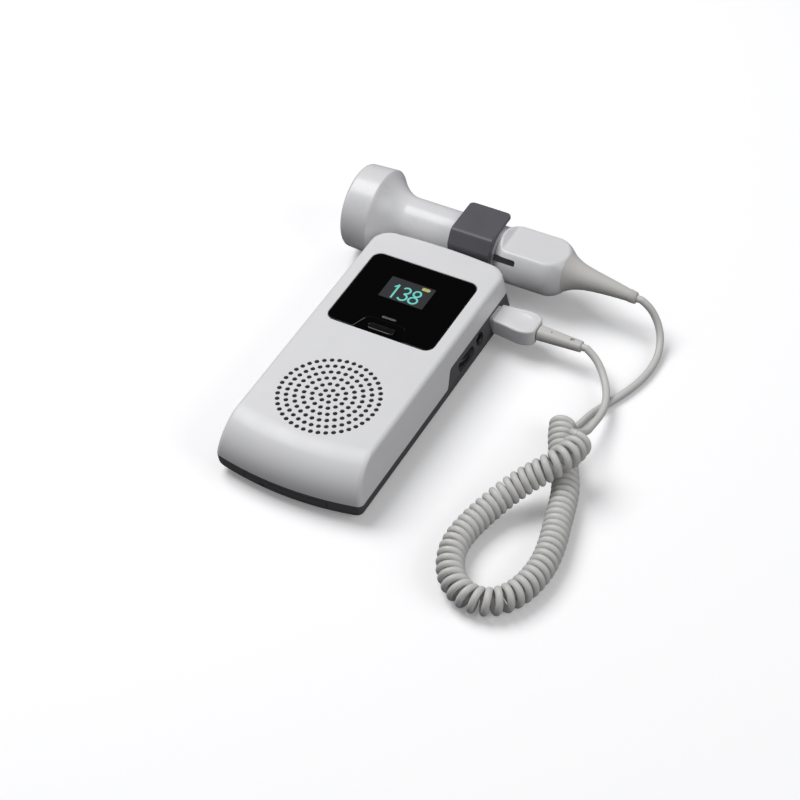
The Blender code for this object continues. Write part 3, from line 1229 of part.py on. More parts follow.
def make_cord(plug_end):
    points, curls = coil_points()
    gap = least_gap(points, COIL_WIRE)
    wanted = COIL_LEAST_GAP * 1000
    print(f"cord coil: {curls} curls, least gap {gap * 1000:.2f} mm, wanted over {wanted:.2f} mm")
    lead_in = (points[1] - points[0]).normalized()
    lead_out = (points[-1] - points[-2]).normalized()
    coil_start = points[0] - lead_in * COIL_WIRE
    coil_end = points[-1] + lead_out * COIL_WIRE
    coil = tube("cord_coil", [coil_start] + points + [coil_end], COIL_WIRE, 1)
    coil.data.materials.append(finish("coil cord grey", WARM_GREY, 0.5))

    along = Vector((1, 0, 0))
    boot_tip = Vector((BOOT_END_X + GAP, PROBE_Y, PROBE_Z - BOOT_DROOP))
    before_coil = coil_start - lead_in * GAP
    path = tail_path(boot_tip, along, PROBE_TAIL_ROUTE, before_coil, lead_in)
    probe_tail = tube("cord_tail_probe", path, CORD_DIAMETER, 2)
    probe_tail.data.materials.append(finish("probe cord grey", WARM_GREY, 0.5))

    after_coil = coil_end + lead_out * GAP
    plug_tip = Vector((plug_end + GAP, PLUG_Y, PLUG_Z))
    path = tail_path(after_coil, lead_out, PLUG_TAIL_ROUTE, plug_tip, -along)
    plug_tail = tube("cord_tail_connector", path, CORD_DIAMETER, 2)
    plug_tail.data.materials.append(finish("plug cord grey", WARM_GREY, 0.5))


make_front_cover()
make_rear_cover()
make_battery_door()
make_window()
make_button()
make_light()
make_display()
make_speaker()
make_board()
make_case_screws()
make_wheel()
make_jack()
make_socket()
make_battery()
make_holder()
make_probe()
make_cord(make_plug())
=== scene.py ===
"""Looks of a hand-held fetal doppler monitor: display unit, clipped probe and curly cord.

Metres, +Z up. The unit lies on its flat back, its head end towards +Y and its ports towards +X.
"""
import math

import bmesh
import bpy
from mathutils import Matrix, Vector


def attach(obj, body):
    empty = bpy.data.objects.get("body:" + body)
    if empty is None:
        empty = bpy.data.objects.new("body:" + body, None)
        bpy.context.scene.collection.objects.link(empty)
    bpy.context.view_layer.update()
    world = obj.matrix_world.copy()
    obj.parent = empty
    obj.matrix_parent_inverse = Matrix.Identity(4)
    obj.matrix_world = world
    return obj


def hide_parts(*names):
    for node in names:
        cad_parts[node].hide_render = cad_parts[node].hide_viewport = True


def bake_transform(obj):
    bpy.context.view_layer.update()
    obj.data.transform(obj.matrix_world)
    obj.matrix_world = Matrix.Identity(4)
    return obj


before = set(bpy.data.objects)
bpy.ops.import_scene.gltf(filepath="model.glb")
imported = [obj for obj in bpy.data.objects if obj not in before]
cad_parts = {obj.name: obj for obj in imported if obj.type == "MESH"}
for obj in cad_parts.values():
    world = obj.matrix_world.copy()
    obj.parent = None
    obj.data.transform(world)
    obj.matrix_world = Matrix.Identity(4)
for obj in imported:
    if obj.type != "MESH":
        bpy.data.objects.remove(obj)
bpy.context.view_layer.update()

# Clearances and cutter overrun
GAP = 0.0003
OVER = 0.001

# Case
CASE_TOP = 0.026
PARTING = 0.0097
TOP_HALF_WIDTH = 0.031
PARTING_HALF_WIDTH = 0.0338
HEAD_TOP_Y = 0.070
HEAD_PARTING_Y = 0.072
HEAD_BOW = 0.002
HEAD_CORNER = 0.0085
FOOT_FLAT_Y = -0.0545
FOOT_REACH = 0.0175
FOOT_BOW = 0.004
FOOT_CORNER = 0.0026
TOP_FILLET = 0.0018
BACK_EDGE = 0.0062
BACK_DRAFT = 0.0007
CORNER_GROWTH_SHARE = 0.35
WALL = 0.002
TOP_WALL = 0.0026
FLOOR = 0.002
LIP = 0.0002
SEAM = 0.00002

# Screws
SCREW_RADIUS = 0.001
SCREW_HEAD_RADIUS = 0.0019
SCREW_HEAD_HEIGHT = 0.0016
SCREW_HEAD_EDGE = 0.0003
SCREW_CROSS_ARM = 0.00022
SCREW_SEAT = 0.005
POST_RADIUS = 0.0028
POST_TOP = 0.012
HEAD_SCREW = (0.0248, 0.0635)
FOOT_SCREW = (0.0262, -0.052)

# Raised port wall
NOTCH_TOP = 0.017
NOTCH_FOOT_Y = 0.0055
NOTCH_STEP = 0.007
NOTCH_HEAD_Y = 0.0645
NOTCH_CORNER = 0.0016

# Window, display and button
WINDOW_HALF = (0.0248, 0.02275)
WINDOW_CORNER = 0.004
WINDOW_Y = 0.0312
WINDOW_TOP = 0.0259
WINDOW_THICKNESS = 0.0012
WINDOW_EDGE = 0.00025
WINDOW_LEDGE = 0.004
SCREEN_HALF = (0.0104, 0.0066)
SCREEN_AT = (-0.0007, 0.0365)
SCREEN_CORNER = 0.0002
SCREEN_FILM = 0.00002
DIGITS_LEFT = -0.0076
DIGITS_FOOT = 0.03075
DIGITS_TOP = 0.0395
DIGIT_STROKE = 0.00085
ONE_X = -0.0057
THREE_X = -0.0013
EIGHT_X = 0.0037
ONE_FLAG_SHARES = (0.78, 0.90)
STROKE_RISE = 0.1
NEARLY_ROUND = 345
# Upper and lower bowl: its middle and its half height as shares of the digit's height, and its half width
THREE_BOWLS = [(0.745, 0.255, 0.0017), (0.265, 0.265, 0.00195)]
EIGHT_BOWLS = [(0.755, 0.245, 0.0016), (0.265, 0.265, 0.00195)]
BATTERY_AT = (0.0057, 0.0414)
BATTERY_HALF = (0.0017, 0.00085)
BATTERY_LINE = 0.0003
BATTERY_TIP_HALF = 0.0004
CHARGE_HALF_WIDTH = 0.00032
CHARGE_INSET = 0.0002
CHARGE_PITCH = 0.0009
BUTTON_HALF = (0.0061, 0.0018)
BUTTON_Y = 0.0118
BUTTON_PROUD = 0.0003
BUTTON_EDGE = 0.0005
BUTTON_SKIRT = 0.0011
ARCH_TOP_HALF = 0.0094
ARCH_FOOT_HALF = 0.0122
ARCH_TOP_Y = 0.0168
ARCH_CORNER = 0.0024
ARCH_DEPTH = 0.0003
LIGHT_HALF = (0.0034, 0.00055)
LIGHT_Y = 0.019
LIGHT_EDGE = 0.0001
LIGHT_SKIRT = 0.0015

# Speaker grille
GRILLE_Y = -0.0325
GRILLE_RINGS = 6
GRILLE_PITCH = 0.0035
GRILLE_HOLE_RADIUS = 0.00102
GRILLE_LIP = 0.00007
# The black discs stand for the cloth behind the grille. They sit just under the face, so they also paint the
# shade inside the holes over the holes' lit walls.
HOLE_SHADE_CLOTH_DEPTH = 0.00035
CLOTH_THICKNESS = 0.0001
GRILLE_HOLES_PER_RING = 7

# Volume wheel, jack and socket in the port wall
WHEEL_RADIUS = 0.009
WHEEL_THICKNESS = 0.003
WHEEL_Y = 0.0245
WHEEL_Z = 0.012
WHEEL_PROUD = 0.0005
WHEEL_EDGE = 0.0004
WHEEL_RIBS = 44
WHEEL_RIB_RADIUS = 0.00034
WHEEL_SLOT_HALF = (0.007, 0.0025)
SHAFT_RADIUS = 0.0023
JACK_Y = 0.037
JACK_Z = 0.0128
JACK_BORE_RADIUS = 0.0018
JACK_COLLAR_RADIUS = 0.0028
JACK_EDGE = 0.0003
JACK_BODY = (0.012, 0.0065, 0.0062)
BOARD_Z = 0.0172

# Battery bay and door
CELL_RADIUS = 0.0071
BAY_LENGTH = 0.058
BAY_FOOT_Y = -0.0637
BAY_WALL = 0.0012
BAY_RIM = 0.0022
BAY_RIM_THICKNESS = 0.0013
DOOR_HALF_WIDTH = 0.019
DOOR_THICKNESS = 0.0016
DOOR_END_Y = -0.0677
DOOR_END_HEIGHT = 0.008
LATCH_X = -0.0105
LATCH_HALF_WIDTH = 0.0016
LATCH_DEPTH = 0.0009
LATCH_Z = 0.0052
LATCH_HALF_HEIGHT = 0.0005
GRIP_COUNT = 5
GRIP_PITCH = 0.0022
GRIP_HALF_LENGTH = 0.006
GRIP_Y = -0.0445
GRIP_DEPTH = 0.0005

# Probe
PROBE_Y = 0.0842
PROBE_Z = 0.0201
FACE_X = -0.0502
FACE_THICKNESS = 0.0019
FACE_ROUND = 0.0026
HEAD_RECESS = 0.004
PROBE_STEP = 0.0002
HEAD_RADIUS = 0.0190
RIM_RADIUS = 0.0196
RIM_X = -0.0366
RIM_EDGE = 0.00035
FLARE_LENGTH = 0.0135
FLARE_POWER = 2.1
NECK_RADIUS = 0.0108
NECK_END_X = 0.0212
PROBE_WALL = 0.0018
HANDLE_RADIUS = 0.0128
HANDLE_SWELL = 0.006
HANDLE_SHOULDER_X = 0.044
HANDLE_END_X = 0.052
HANDLE_END_RADIUS = 0.0088
FACET_HEIGHT = 0.0090
FACET_START_X = 0.0246
FACET_SOFTNESS = 0.0006
FACET_RISE = 0.9
GROOVE_END_X = 0.0318
GROOVE_HALF_HEIGHT = 0.0014
GROOVE_DEPTH = 0.0012
GROOVE_ANGLE = math.radians(26)
# How far below the handle's surface the dark strip in the groove begins.
GROOVE_STRIP_DEPTH = 0.0006
BOOT_STEP = 0.00006
BOOT_END_X = 0.084
BOOT_END_RADIUS = 0.0023
BOOT_TAPER = 0.0036
BOOT_HOLLOW_POWER = 7
BOOT_DROOP = 0.0022
BOOT_CUFF = 0.0032
CUFF_RISE = 0.0002
CUFF_EDGE = 0.0003

# Probe holder
HOLDER_X = 0.0004
HOLDER_WIDTH = 0.0197
HOLDER_ARM = 0.0017
HOLDER_UPPER_REACH = 0.0102
HOLDER_LOWER_REACH = 0.0068
HOLDER_CORNER = 0.0012
HOLDER_EDGE = 0.00055
HOLDER_PLAN_CORNER = 0.0026
HOLDER_SCREW_Z = 0.0128
HOLDER_SCREW_FOOT = 0.0028
HOLDER_SHOULDER_SHARE = 0.72
HOLDER_SHOULDER = [(0.0, 0.0), (1.2, 0.35), (2.0, 1.15)]

# Plug
PLUG_Y = 0.0525
PLUG_Z = 0.012
PLUG_HALF = (0.007, 0.004)
PLUG_NOSE_HALF = (0.0052, 0.0037)
PLUG_NOSE_DEPTH = 0.0025
PLUG_LENGTH = 0.0195
PLUG_SIDE = [(0.0, 0.79), (0.16, 0.83), (0.34, 0.89), (0.52, 0.96), (0.66, 1.0)]
PLUG_END_SHARE = 0.46
PLUG_BOOT_LENGTH = 0.0198
PLUG_BOOT_RADII = (0.00345, 0.0021)
PLUG_BOOT_STEP = 0.0003
PLUG_BOOT_COLLAR = 0.0004
PLUG_BOOT_FLAT = 0.86
PLUG_BOOT_ENDS = (0.008, 0.99)
PLUG_BOOT_SOFTNESS = 0.0006
PLUG_SOFT = 0.0009
DOT_SHARE = 0.30
DOT_RADIUS = 0.00035
DOT_FOOT = 0.0021
MARK_SHARE = 0.78
MARK_HALF = (0.0009, 0.0007)
MARK_CORNER = 0.0002
MARK_FOOT = 0.0016
DIMPLE_HALF = (0.0058, 0.0043)
DIMPLE_DEPTH = 0.0006
DIMPLE_REACH = 0.016
DIMPLE_INSET = 0.0115

# Cord
CORD_DIAMETER = 0.0032
COIL_WIRE = 0.0030
COIL_OUTER_RADIUS = 0.0058
COIL_CLOSED_PITCH = 0.00308
COIL_POINTS_PER_CURL = 24
COIL_LAST_TURN = 0.55
TAIL_STEP = 0.0006
TAIL_EASE_ROUNDS = 30
TAIL_LEAD = 0.7
JOINT_SWEEP = 0.95
COIL_BEND_SAMPLES = 12
COIL_EASE_ROUNDS = 150
COIL_SPINE_STEP = 0.0026 / 6
PROBE_TAIL_ROUTE = [
    (0.0895, 0.0842, 0.0160), (0.0932, 0.0836, 0.0118), (0.0974, 0.0800, 0.0062),
    (0.1004, 0.0710, 0.0026), (0.1004, 0.0580, 0.0019), (0.0973, 0.0460, 0.0019),
    (0.0936, 0.0368, 0.0019), (0.0905, 0.0296, 0.0019),
]
COIL_ROUTE = [
    (0.0834, 0.0135, 0.0062), (0.0862, 0.0058, 0.0062), (0.0938, -0.0078, 0.0062),
    (0.0998, -0.0185, 0.0062), (0.1025, -0.0270, 0.0062), (0.1055, -0.0387, 0.0062),
    (0.1085, -0.0503, 0.0062), (0.1098, -0.0615, 0.0062), (0.1083, -0.0735, 0.0062),
    (0.1040, -0.0830, 0.0062), (0.0965, -0.0880, 0.0062), (0.0865, -0.0865, 0.0062),
    (0.0780, -0.0780, 0.0062), (0.0738, -0.0652, 0.0062), (0.0750, -0.0528, 0.0063),
    (0.0784, -0.0415, 0.0078), (0.0834, -0.0322, 0.0112), (0.0896, -0.0250, 0.0152),
    (0.0954, -0.0195, 0.0184), (0.0988, -0.0118, 0.0190), (0.0986, -0.0046, 0.0182),
]
PLUG_TAIL_ROUTE = [
    (0.0957, 0.0120, 0.0098), (0.0953, 0.0255, 0.0070), (0.0925, 0.0360, 0.0058),
    (0.0876, 0.0446, 0.0060), (0.0815, 0.0505, 0.0092),
]

# Camera
CAMERA_SENSOR = 36.0
CAMERA_LENS = 112.05
CAMERA_CLIP = (0.05, 20)
CAMERA_PLACE = (0.380554, -0.643294, 0.732854)
CAMERA_RIGHT = (0.88213, 0.47018, -0.02792)
CAMERA_DOWN = (0.31328, -0.62996, -0.71064)
CAMERA_AHEAD = (-0.35171, 0.61813, -0.70300)

# Light: each lamp's direction, distance, size and level
KEY = ((-0.50, 0.10, 0.86), 1.3, 0.8, 0.74)
RIGHT_FILL = ((0.85, -0.02, 0.52), 1.5, 0.9, 0.28)
LIT_MIDDLE = (0.03, 0.0, 0.0)
WORLD_TINT = (0.97, 0.98, 1.0, 1.0)
WORLD_LEVEL = 0.22
FLAG_LEVEL = 0.03
FLAG_DIRECTION = (-0.352, 0.618, 0.703)
FLAG_EDGE = (0.86, 0.95)
GROUND_HALF = 3
GROUND_DROP = 0.0001
GROUND_SEEN = (0.97, 0.97, 0.98, 1.0)
GROUND_BOUNCE = (0.16, 0.16, 0.165, 1.0)
GROUND_GLOW = 0.16

# Colours
WHITE = (0.77, 0.77, 0.785)
WARM_GREY = (0.60, 0.59, 0.57)
CHARCOAL = (0.098, 0.098, 0.103)
SLATE = (0.098, 0.098, 0.108)
PIXEL_ROWS = 750.0
PIXEL_GAP_SHARE = 0.82
CLOUD_RANGE = (0.3, 0.7)
LEAST_ROUGHNESS = 0.02


# Nodes

def feed(tree, taker, sockets):
    """Link each named socket to the output given for it, or give it its value."""
    for label, value in sockets.items():
        if isinstance(value, bpy.types.NodeSocket):
            tree.links.new(value, taker.inputs[label])
        else:
            taker.inputs[label].default_value = value


def node(tree, kind, sockets=None, **settings):
    """A new node with its settings, and its sockets fed."""
    made = tree.nodes.new(kind)
    for label, value in settings.items():
        setattr(made, label, value)
    feed(tree, made, sockets or {})
    return made


# Camera, floor and light

def link(name, data):
    piece = bpy.data.objects.new(name, data)
    bpy.context.scene.collection.objects.link(piece)
    return piece


def place_camera():
    data = bpy.data.cameras.new("camera")
    data.sensor_width = CAMERA_SENSOR
    data.lens = CAMERA_LENS
    data.clip_start, data.clip_end = CAMERA_CLIP
    camera = link("camera", data)
    turn = Matrix((Vector(CAMERA_RIGHT), -Vector(CAMERA_DOWN), -Vector(CAMERA_AHEAD))).transposed().to_4x4()
    camera.matrix_world = Matrix.Translation(CAMERA_PLACE) @ turn
    bpy.context.scene.camera = camera


def soft_lamp(name, direction, distance, size, level):
    """A square soft box that lights a facing surface to the given share of its own colour."""
    data = bpy.data.lights.new(name, "AREA")
    data.shape = "SQUARE"
    data.size = size
    data.energy = math.pi ** 2 * level * distance ** 2
    lamp = link(name, data)
    away = Vector(direction).normalized()
    lamp.location = Vector(LIT_MIDDLE) + away * distance
    lamp.rotation_euler = away.to_track_quat("Z", "Y").to_euler()


def light_studio():
    """A dim tent with a dark flag behind the head end, a large lamp at the left, a weak one at the right."""
    world = bpy.data.worlds.new("studio")
    bpy.context.scene.world = world
    world.use_nodes = True
    tree = world.node_tree
    toward = node(tree, "ShaderNodeTexCoord")
    nearness = node(tree, "ShaderNodeVectorMath", {
        0: toward.outputs["Generated"], 1: Vector(FLAG_DIRECTION).normalized()}, operation="DOT_PRODUCT")
    level = node(tree, "ShaderNodeMapRange", {
        "Value": nearness.outputs["Value"], "From Min": FLAG_EDGE[0], "From Max": FLAG_EDGE[1],
        "To Min": WORLD_LEVEL, "To Max": FLAG_LEVEL}, interpolation_type="SMOOTHSTEP")
    around = tree.nodes["Background"]
    feed(tree, around, {"Color": WORLD_TINT, "Strength": level.outputs["Result"]})
    white = node(tree, "ShaderNodeBackground", {"Color": (1.0, 1.0, 1.0, 1.0)})
    path = node(tree, "ShaderNodeLightPath")
    mix = node(tree, "ShaderNodeMixShader", {
        0: path.outputs["Is Camera Ray"], 1: around.outputs[0], 2: white.outputs[0]})
    feed(tree, tree.nodes["World Output"], {"Surface": mix.outputs[0]})
    soft_lamp("key", *KEY)
    soft_lamp("right_fill", *RIGHT_FILL)


def lay_floor():
    """A pale floor that the camera sees white and the object sees grey."""
    data = bpy.data.meshes.new("floor")
    half = GROUND_HALF
    corners = [(-half, -half, 0), (half, -half, 0), (half, half, 0), (-half, half, 0)]
    data.from_pydata(corners, [], [(0, 1, 2, 3)])
    data.update()
    floor = link("floor", data)
    floor.location.z = -GROUND_DROP
    material = bpy.data.materials.new("pale floor")
    material.use_nodes = True
    tree = material.node_tree
    tree.nodes.remove(tree.nodes["Principled BSDF"])
    seen = node(tree, "ShaderNodeLightPath").outputs["Is Camera Ray"]
    tint = node(tree, "ShaderNodeMix", {"Factor": seen, "A": GROUND_BOUNCE, "B": GROUND_SEEN},
                data_type="RGBA")
    matt = node(tree, "ShaderNodeBsdfDiffuse", {"Color": tint.outputs["Result"]})
    glow = node(tree, "ShaderNodeEmission", {"Strength": GROUND_GLOW})
    lifted = node(tree, "ShaderNodeAddShader", {0: matt.outputs[0], 1: glow.outputs[0]})
    choice = node(tree, "ShaderNodeMixShader", {0: seen, 1: matt.outputs[0], 2: lifted.outputs[0]})
    feed(tree, tree.nodes["Material Output"], {"Surface": choice.outputs[0]})
    floor.data.materials.append(material)


# Finishes

def shaded(colour, share):
    """A colour with its brightness changed, as a node takes it."""
    return (*[min(1.0, part * share) for part in colour], 1.0)


def finish(name, colour, roughness, metallic=0.0, grain=0.0003, depth=0.000004, mottle=0.02, spread=0.05,
           patch=0.012, **sockets):
    """A surface with a fine grain, slightly uneven colour and slightly uneven gloss."""
    material = bpy.data.materials.new(name)
    material.use_nodes = True
    tree = material.node_tree
    place = node(tree, "ShaderNodeTexCoord").outputs["Object"]
    fine = node(tree, "ShaderNodeTexNoise", {"Vector": place, "Scale": 1 / grain, "Detail": 2.0})
    bump = node(tree, "ShaderNodeBump", {"Height": fine.outputs["Fac"], "Distance": depth})
    broad = node(tree, "ShaderNodeTexNoise", {"Vector": place, "Scale": 1 / patch, "Detail": 4.0})
    gloss = node(tree, "ShaderNodeMapRange", {
        "Value": broad.outputs["Fac"], "From Min": CLOUD_RANGE[0], "From Max": CLOUD_RANGE[1],
        "To Min": max(LEAST_ROUGHNESS, roughness - spread), "To Max": min(1.0, roughness + spread)})
    shade = node(tree, "ShaderNodeMix", {
        "Factor": broad.outputs["Fac"], "A": shaded(colour, 1 - mottle), "B": shaded(colour, 1 + mottle)},
        data_type="RGBA")
    feed(tree, tree.nodes["Principled BSDF"], {
        "Base Color": shade.outputs["Result"], "Roughness": gloss.outputs["Result"],
        "Normal": bump.outputs["Normal"], "Metallic": metallic,
        **{label.replace("_", " "): value for label, value in sockets.items()}})
    return material


def glowing(name, colour, dull):
    """A lit part of the display: its own light over a dark glossy base, in fine pixel rows."""
    material = finish(name, dull, 0.12, grain=0.0002, depth=0.000001)
    tree = material.node_tree
    place = tree.nodes["Texture Coordinate"].outputs["Object"]
    rows = node(tree, "ShaderNodeTexWave", {"Vector": place, "Scale": PIXEL_ROWS}, bands_direction="Y")
    level = node(tree, "ShaderNodeMix", {
        "Factor": rows.outputs["Fac"], "A": shaded(colour, PIXEL_GAP_SHARE), "B": shaded(colour, 1)},
        data_type="RGBA")
    feed(tree, tree.nodes["Principled BSDF"], {
        "Emission Color": level.outputs["Result"], "Emission Strength": 1.0})
    return material


# Meshes

def from_bmesh(name, bm):
    """A piece from a working mesh, its faces turned outwards."""
    bmesh.ops.recalc_face_normals(bm, faces=bm.faces)
    data = bpy.data.meshes.new(name)
    bm.to_mesh(data)
    bm.free()
    return link(name, data)


def loft(name, rings, closed_ends=True):
    """A solid through rings of points that all have the same count."""
    bm = bmesh.new()
    loops = [[bm.verts.new(point) for point in ring] for ring in rings]
    for lower, upper in zip(loops, loops[1:]):
        count = len(lower)
        for i in range(count):
            j = (i + 1) % count
            bm.faces.new((lower[i], lower[j], upper[j], upper[i]))
    if closed_ends:
        bm.faces.new(list(reversed(loops[0])))
        bm.faces.new(loops[-1])
    return from_bmesh(name, bm)


def placed(axis, a, b, level):
    """A point from its place on a plane and its level along the plane's axis."""
    return {"X": (level, a, b), "Y": (a, level, b), "Z": (a, b, level)}[axis]


def prism(name, outline, low, high, axis="Z"):
    return loft(name, [[placed(axis, a, b, level) for a, b in outline] for level in (low, high)])


def flared(name, outline_at, low, high, lip, axis="Z", inward=False):
    """A cutter whose mouth opens by a lip at the high level, or at the low one."""
    levels = [(low, 0), (high - lip, 0), (high, lip), (high + OVER, lip)]
    if inward:
        levels = [(low - OVER, lip), (low, lip), (low + lip, 0), (high, 0)]
    return loft(name, [[placed(axis, a, b, level) for a, b in outline_at(grow)] for level, grow in levels])


def circle(radius, sides, centre=(0.0, 0.0), start=0.0):
    turn = math.tau / sides
    return [(centre[0] + radius * math.cos(start + turn * i), centre[1] + radius * math.sin(start + turn * i))
            for i in range(sides)]


def turned(name, profile, centre, sides=72, axis="X"):
    """Turn (level, radius) points about an axis through centre; the profile starts and ends on it."""
    bm = bmesh.new()
    rows = []
    for level, radius in profile:
        if radius <= 0:
            rows.append([bm.verts.new(placed(axis, *centre, level))] * sides)
        else:
            rows.append([bm.verts.new(placed(axis, a, b, level)) for a, b in circle(radius, sides, centre)])
    for first, second in zip(rows, rows[1:]):
        for i in range(sides):
            j = (i + 1) % sides
            corners = []
            for vert in (first[i], first[j], second[j], second[i]):
                if vert not in corners:
                    corners.append(vert)
            if len(corners) > 2:
                bm.faces.new(corners)
    return from_bmesh(name, bm)


def rod(name, radius, low, high, centre=(0.0, 0.0), sides=32):
    """An upright round bar."""
    return turned(name, [(low, 0), (low, radius), (high, radius), (high, 0)], centre, sides, "Z")


def rounded_rectangle(half_width, half_length, radius, centre=(0.0, 0.0), steps=8):
    points = []
    for quadrant, (side_x, side_y) in enumerate(((1, 1), (-1, 1), (-1, -1), (1, -1))):
        corner = (centre[0] + side_x * (half_width - radius), centre[1] + side_y * (half_length - radius))
        for i in range(steps + 1):
            angle = math.pi / 2 * (quadrant + i / steps)
            points.append((corner[0] + radius * math.cos(angle), corner[1] + radius * math.sin(angle)))
    return points


def growing(halves, corner, centre, steps, clear=0.0):
    """A rounded rectangle as a function of how far it is let out all round."""
    return lambda grow: rounded_rectangle(halves[0] + clear + grow, halves[1] + clear + grow, corner + grow,
                                          centre, steps)


def oval(centre, halves, start, end, steps=22):
    """Points on part of an oval, angles in degrees."""
    turns = [math.radians(start + (end - start) * i / steps) for i in range(steps + 1)]
    return [(centre[0] + halves[0] * math.cos(t), centre[1] + halves[1] * math.sin(t)) for t in turns]


def arc(centre, radius, start, end, steps):
    return oval(centre, (radius, radius), start, end, steps)


def shown_mesh(piece):
    """A new mesh of the piece as its modifiers show it."""
    graph = bpy.context.evaluated_depsgraph_get()
    graph.update()
    return bpy.data.meshes.new_from_object(piece.evaluated_get(graph))


def applied(piece):
    data = shown_mesh(piece)
    piece.modifiers.clear()
    piece.data = data
    return piece


def combine(piece, tool, operation):
    modifier = piece.modifiers.new(operation.title(), "BOOLEAN")
    modifier.operation = operation
    modifier.solver = "EXACT"
    modifier.object = tool
    applied(piece)
    bpy.data.objects.remove(tool, do_unlink=True)
    return piece


def cut(piece, *tools):
    for tool in tools:
        combine(piece, tool, "DIFFERENCE")
    return piece


def join(piece, *tools):
    for tool in tools:
        combine(piece, tool, "UNION")
    return piece


def keep(piece, tool):
    return combine(piece, tool, "INTERSECT")


def softened(piece, width, steps, angle=35):
    """Round every edge that is sharper than the angle, in degrees."""
    modifier = piece.modifiers.new("Bevel", "BEVEL")
    modifier.width = width
    modifier.segments = steps
    modifier.limit_method = "ANGLE"
    modifier.angle_limit = math.radians(angle)
    modifier.harden_normals = False
    return applied(piece)


def dressed(piece, material, body, slot, *nodes, sharp=35):
    """Smooth a finished piece, give it its finish, and tie it to its body and the solids it stands for."""
    piece.data.materials.clear()
    piece.data.materials.append(material)
    for face in piece.data.polygons:
        face.material_index = 0
    piece.data.shade_smooth()
    piece.data.set_sharp_from_angle(angle=math.radians(sharp))
    weighting = piece.modifiers.new("Normals", "WEIGHTED_NORMAL")
    weighting.keep_sharp = True
    applied(piece)
    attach(piece, body)
    if nodes:
        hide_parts(*nodes)
    return piece


# Geometry node trees

def new_tree(name, inputs):
    """An empty tree with a geometry input, named sizes and a material: its keys and what it is given."""
    tree = bpy.data.node_groups.new(name, "GeometryNodeTree")
    tree.interface.new_socket("Geometry", in_out="INPUT", socket_type="NodeSocketGeometry")
    keys = {}
    for label, kind in {**inputs, "Material": "Material"}.items():
        socket = tree.interface.new_socket(label, in_out="INPUT", socket_type=f"NodeSocket{kind}")
        keys[label] = socket.identifier
    tree.interface.new_socket("Geometry", in_out="OUTPUT", socket_type="NodeSocketGeometry")
    return tree, keys, node(tree, "NodeGroupInput").outputs


def ended(tree, keys, given, shape):
    """The tree with its last steps: the shape made real and given its material."""
    real = node(tree, "GeometryNodeRealizeInstances", {0: shape})
    dress = node(tree, "GeometryNodeSetMaterial", {
        "Geometry": real.outputs[0], "Material": given["Material"]})
    node(tree, "NodeGroupOutput", {0: dress.outputs[0]})
    return tree, keys


def copied(tree, keys, given, points):
    """The tree ended with copies of the incoming shape on points."""
    copies = node(tree, "GeometryNodeInstanceOnPoints", {"Points": points, "Instance": given["Geometry"]})
    return ended(tree, keys, given, copies.outputs[0])


def grown(name, source, form, values):
    """The plain mesh that a tree makes of a source with the given sizes; the source is used up."""
    tree, keys = form
    modifier = source.modifiers.new("Form", "NODES")
    modifier.node_group = tree
    for label, value in values.items():
        modifier[keys[label]] = value
    mesh = shown_mesh(source)
    bpy.data.objects.remove(source, do_unlink=True)
    mesh.materials.clear()
    return link(name, mesh)


def ring_tree(name):
    """Copies of the incoming shape on rings about the origin, as many more on each as on the first."""
    tree, keys, given = new_tree(name, {
        "Rings": "Int", "Pitch": "Float", "Per Ring": "Int", "Start": "Float", "Middle": "Bool"})
    collected = node(tree, "GeometryNodeJoinGeometry")
    for number in range(1, GRILLE_RINGS + 1):
        radius = node(tree, "ShaderNodeMath", {0: given["Pitch"], 1: number}, operation="MULTIPLY")
        count = node(tree, "ShaderNodeMath", {0: given["Per Ring"], 1: number}, operation="MULTIPLY")
        ring = node(tree, "GeometryNodeMeshCircle", {
            "Radius": radius.outputs[0], "Vertices": count.outputs[0]})
        wanted = node(tree, "FunctionNodeCompare", {2: given["Rings"], 3: number}, data_type="INT",
                      operation="GREATER_EQUAL")
        chosen = node(tree, "GeometryNodeSwitch", {"Switch": wanted.outputs[0], "True": ring.outputs["Mesh"]},
                      input_type="GEOMETRY")
        feed(tree, collected, {0: chosen.outputs[0]})
    centre = node(tree, "GeometryNodePoints", {"Count": 1})
    middle = node(tree, "GeometryNodeSwitch", {"Switch": given["Middle"], "True": centre.outputs[0]},
                  input_type="GEOMETRY")
    points = node(tree, "GeometryNodeMeshToPoints", {"Mesh": collected.outputs[0]})
    both = node(tree, "GeometryNodeJoinGeometry", {0: points.outputs[0]})
    feed(tree, both, {0: middle.outputs[0]})
    turn = node(tree, "ShaderNodeCombineXYZ", {"Z": given["Start"]})
    turned_points = node(tree, "GeometryNodeTransform", {
        "Geometry": both.outputs[0], "Rotation": turn.outputs[0]})
    return copied(tree, keys, given, turned_points.outputs[0])


def row_tree(name):
    """Copies of the incoming shape in a straight row."""
    tree, keys, given = new_tree(name, {"Count": "Int", "Start": "Vector", "Step": "Vector"})
    line = node(tree, "GeometryNodeMeshLine", mode="OFFSET")
    feed(tree, line, {"Count": given["Count"], "Start Location": given["Start"], "Offset": given["Step"]})
    return copied(tree, keys, given, line.outputs[0])


def sheath_tree(name):
    """A round sheath along the incoming curve, with closed ends."""
    tree, keys, given = new_tree(name, {"Radius": "Float", "Sides": "Int"})
    profile = node(tree, "GeometryNodeCurvePrimitiveCircle", {
        "Radius": given["Radius"], "Resolution": given["Sides"]})
    skin = node(tree, "GeometryNodeCurveToMesh", {
        "Curve": given["Geometry"], "Profile Curve": profile.outputs[0], "Fill Caps": True})
    return ended(tree, keys, given, skin.outputs[0])


# Case forms

def slope_share(z):
    """How far a height lies below the top face, from 0 there to 1 at the parting line."""
    return (CASE_TOP - z) / (CASE_TOP - PARTING)


def wall_x(z):
    return TOP_HALF_WIDTH + (PARTING_HALF_WIDTH - TOP_HALF_WIDTH) * slope_share(z)


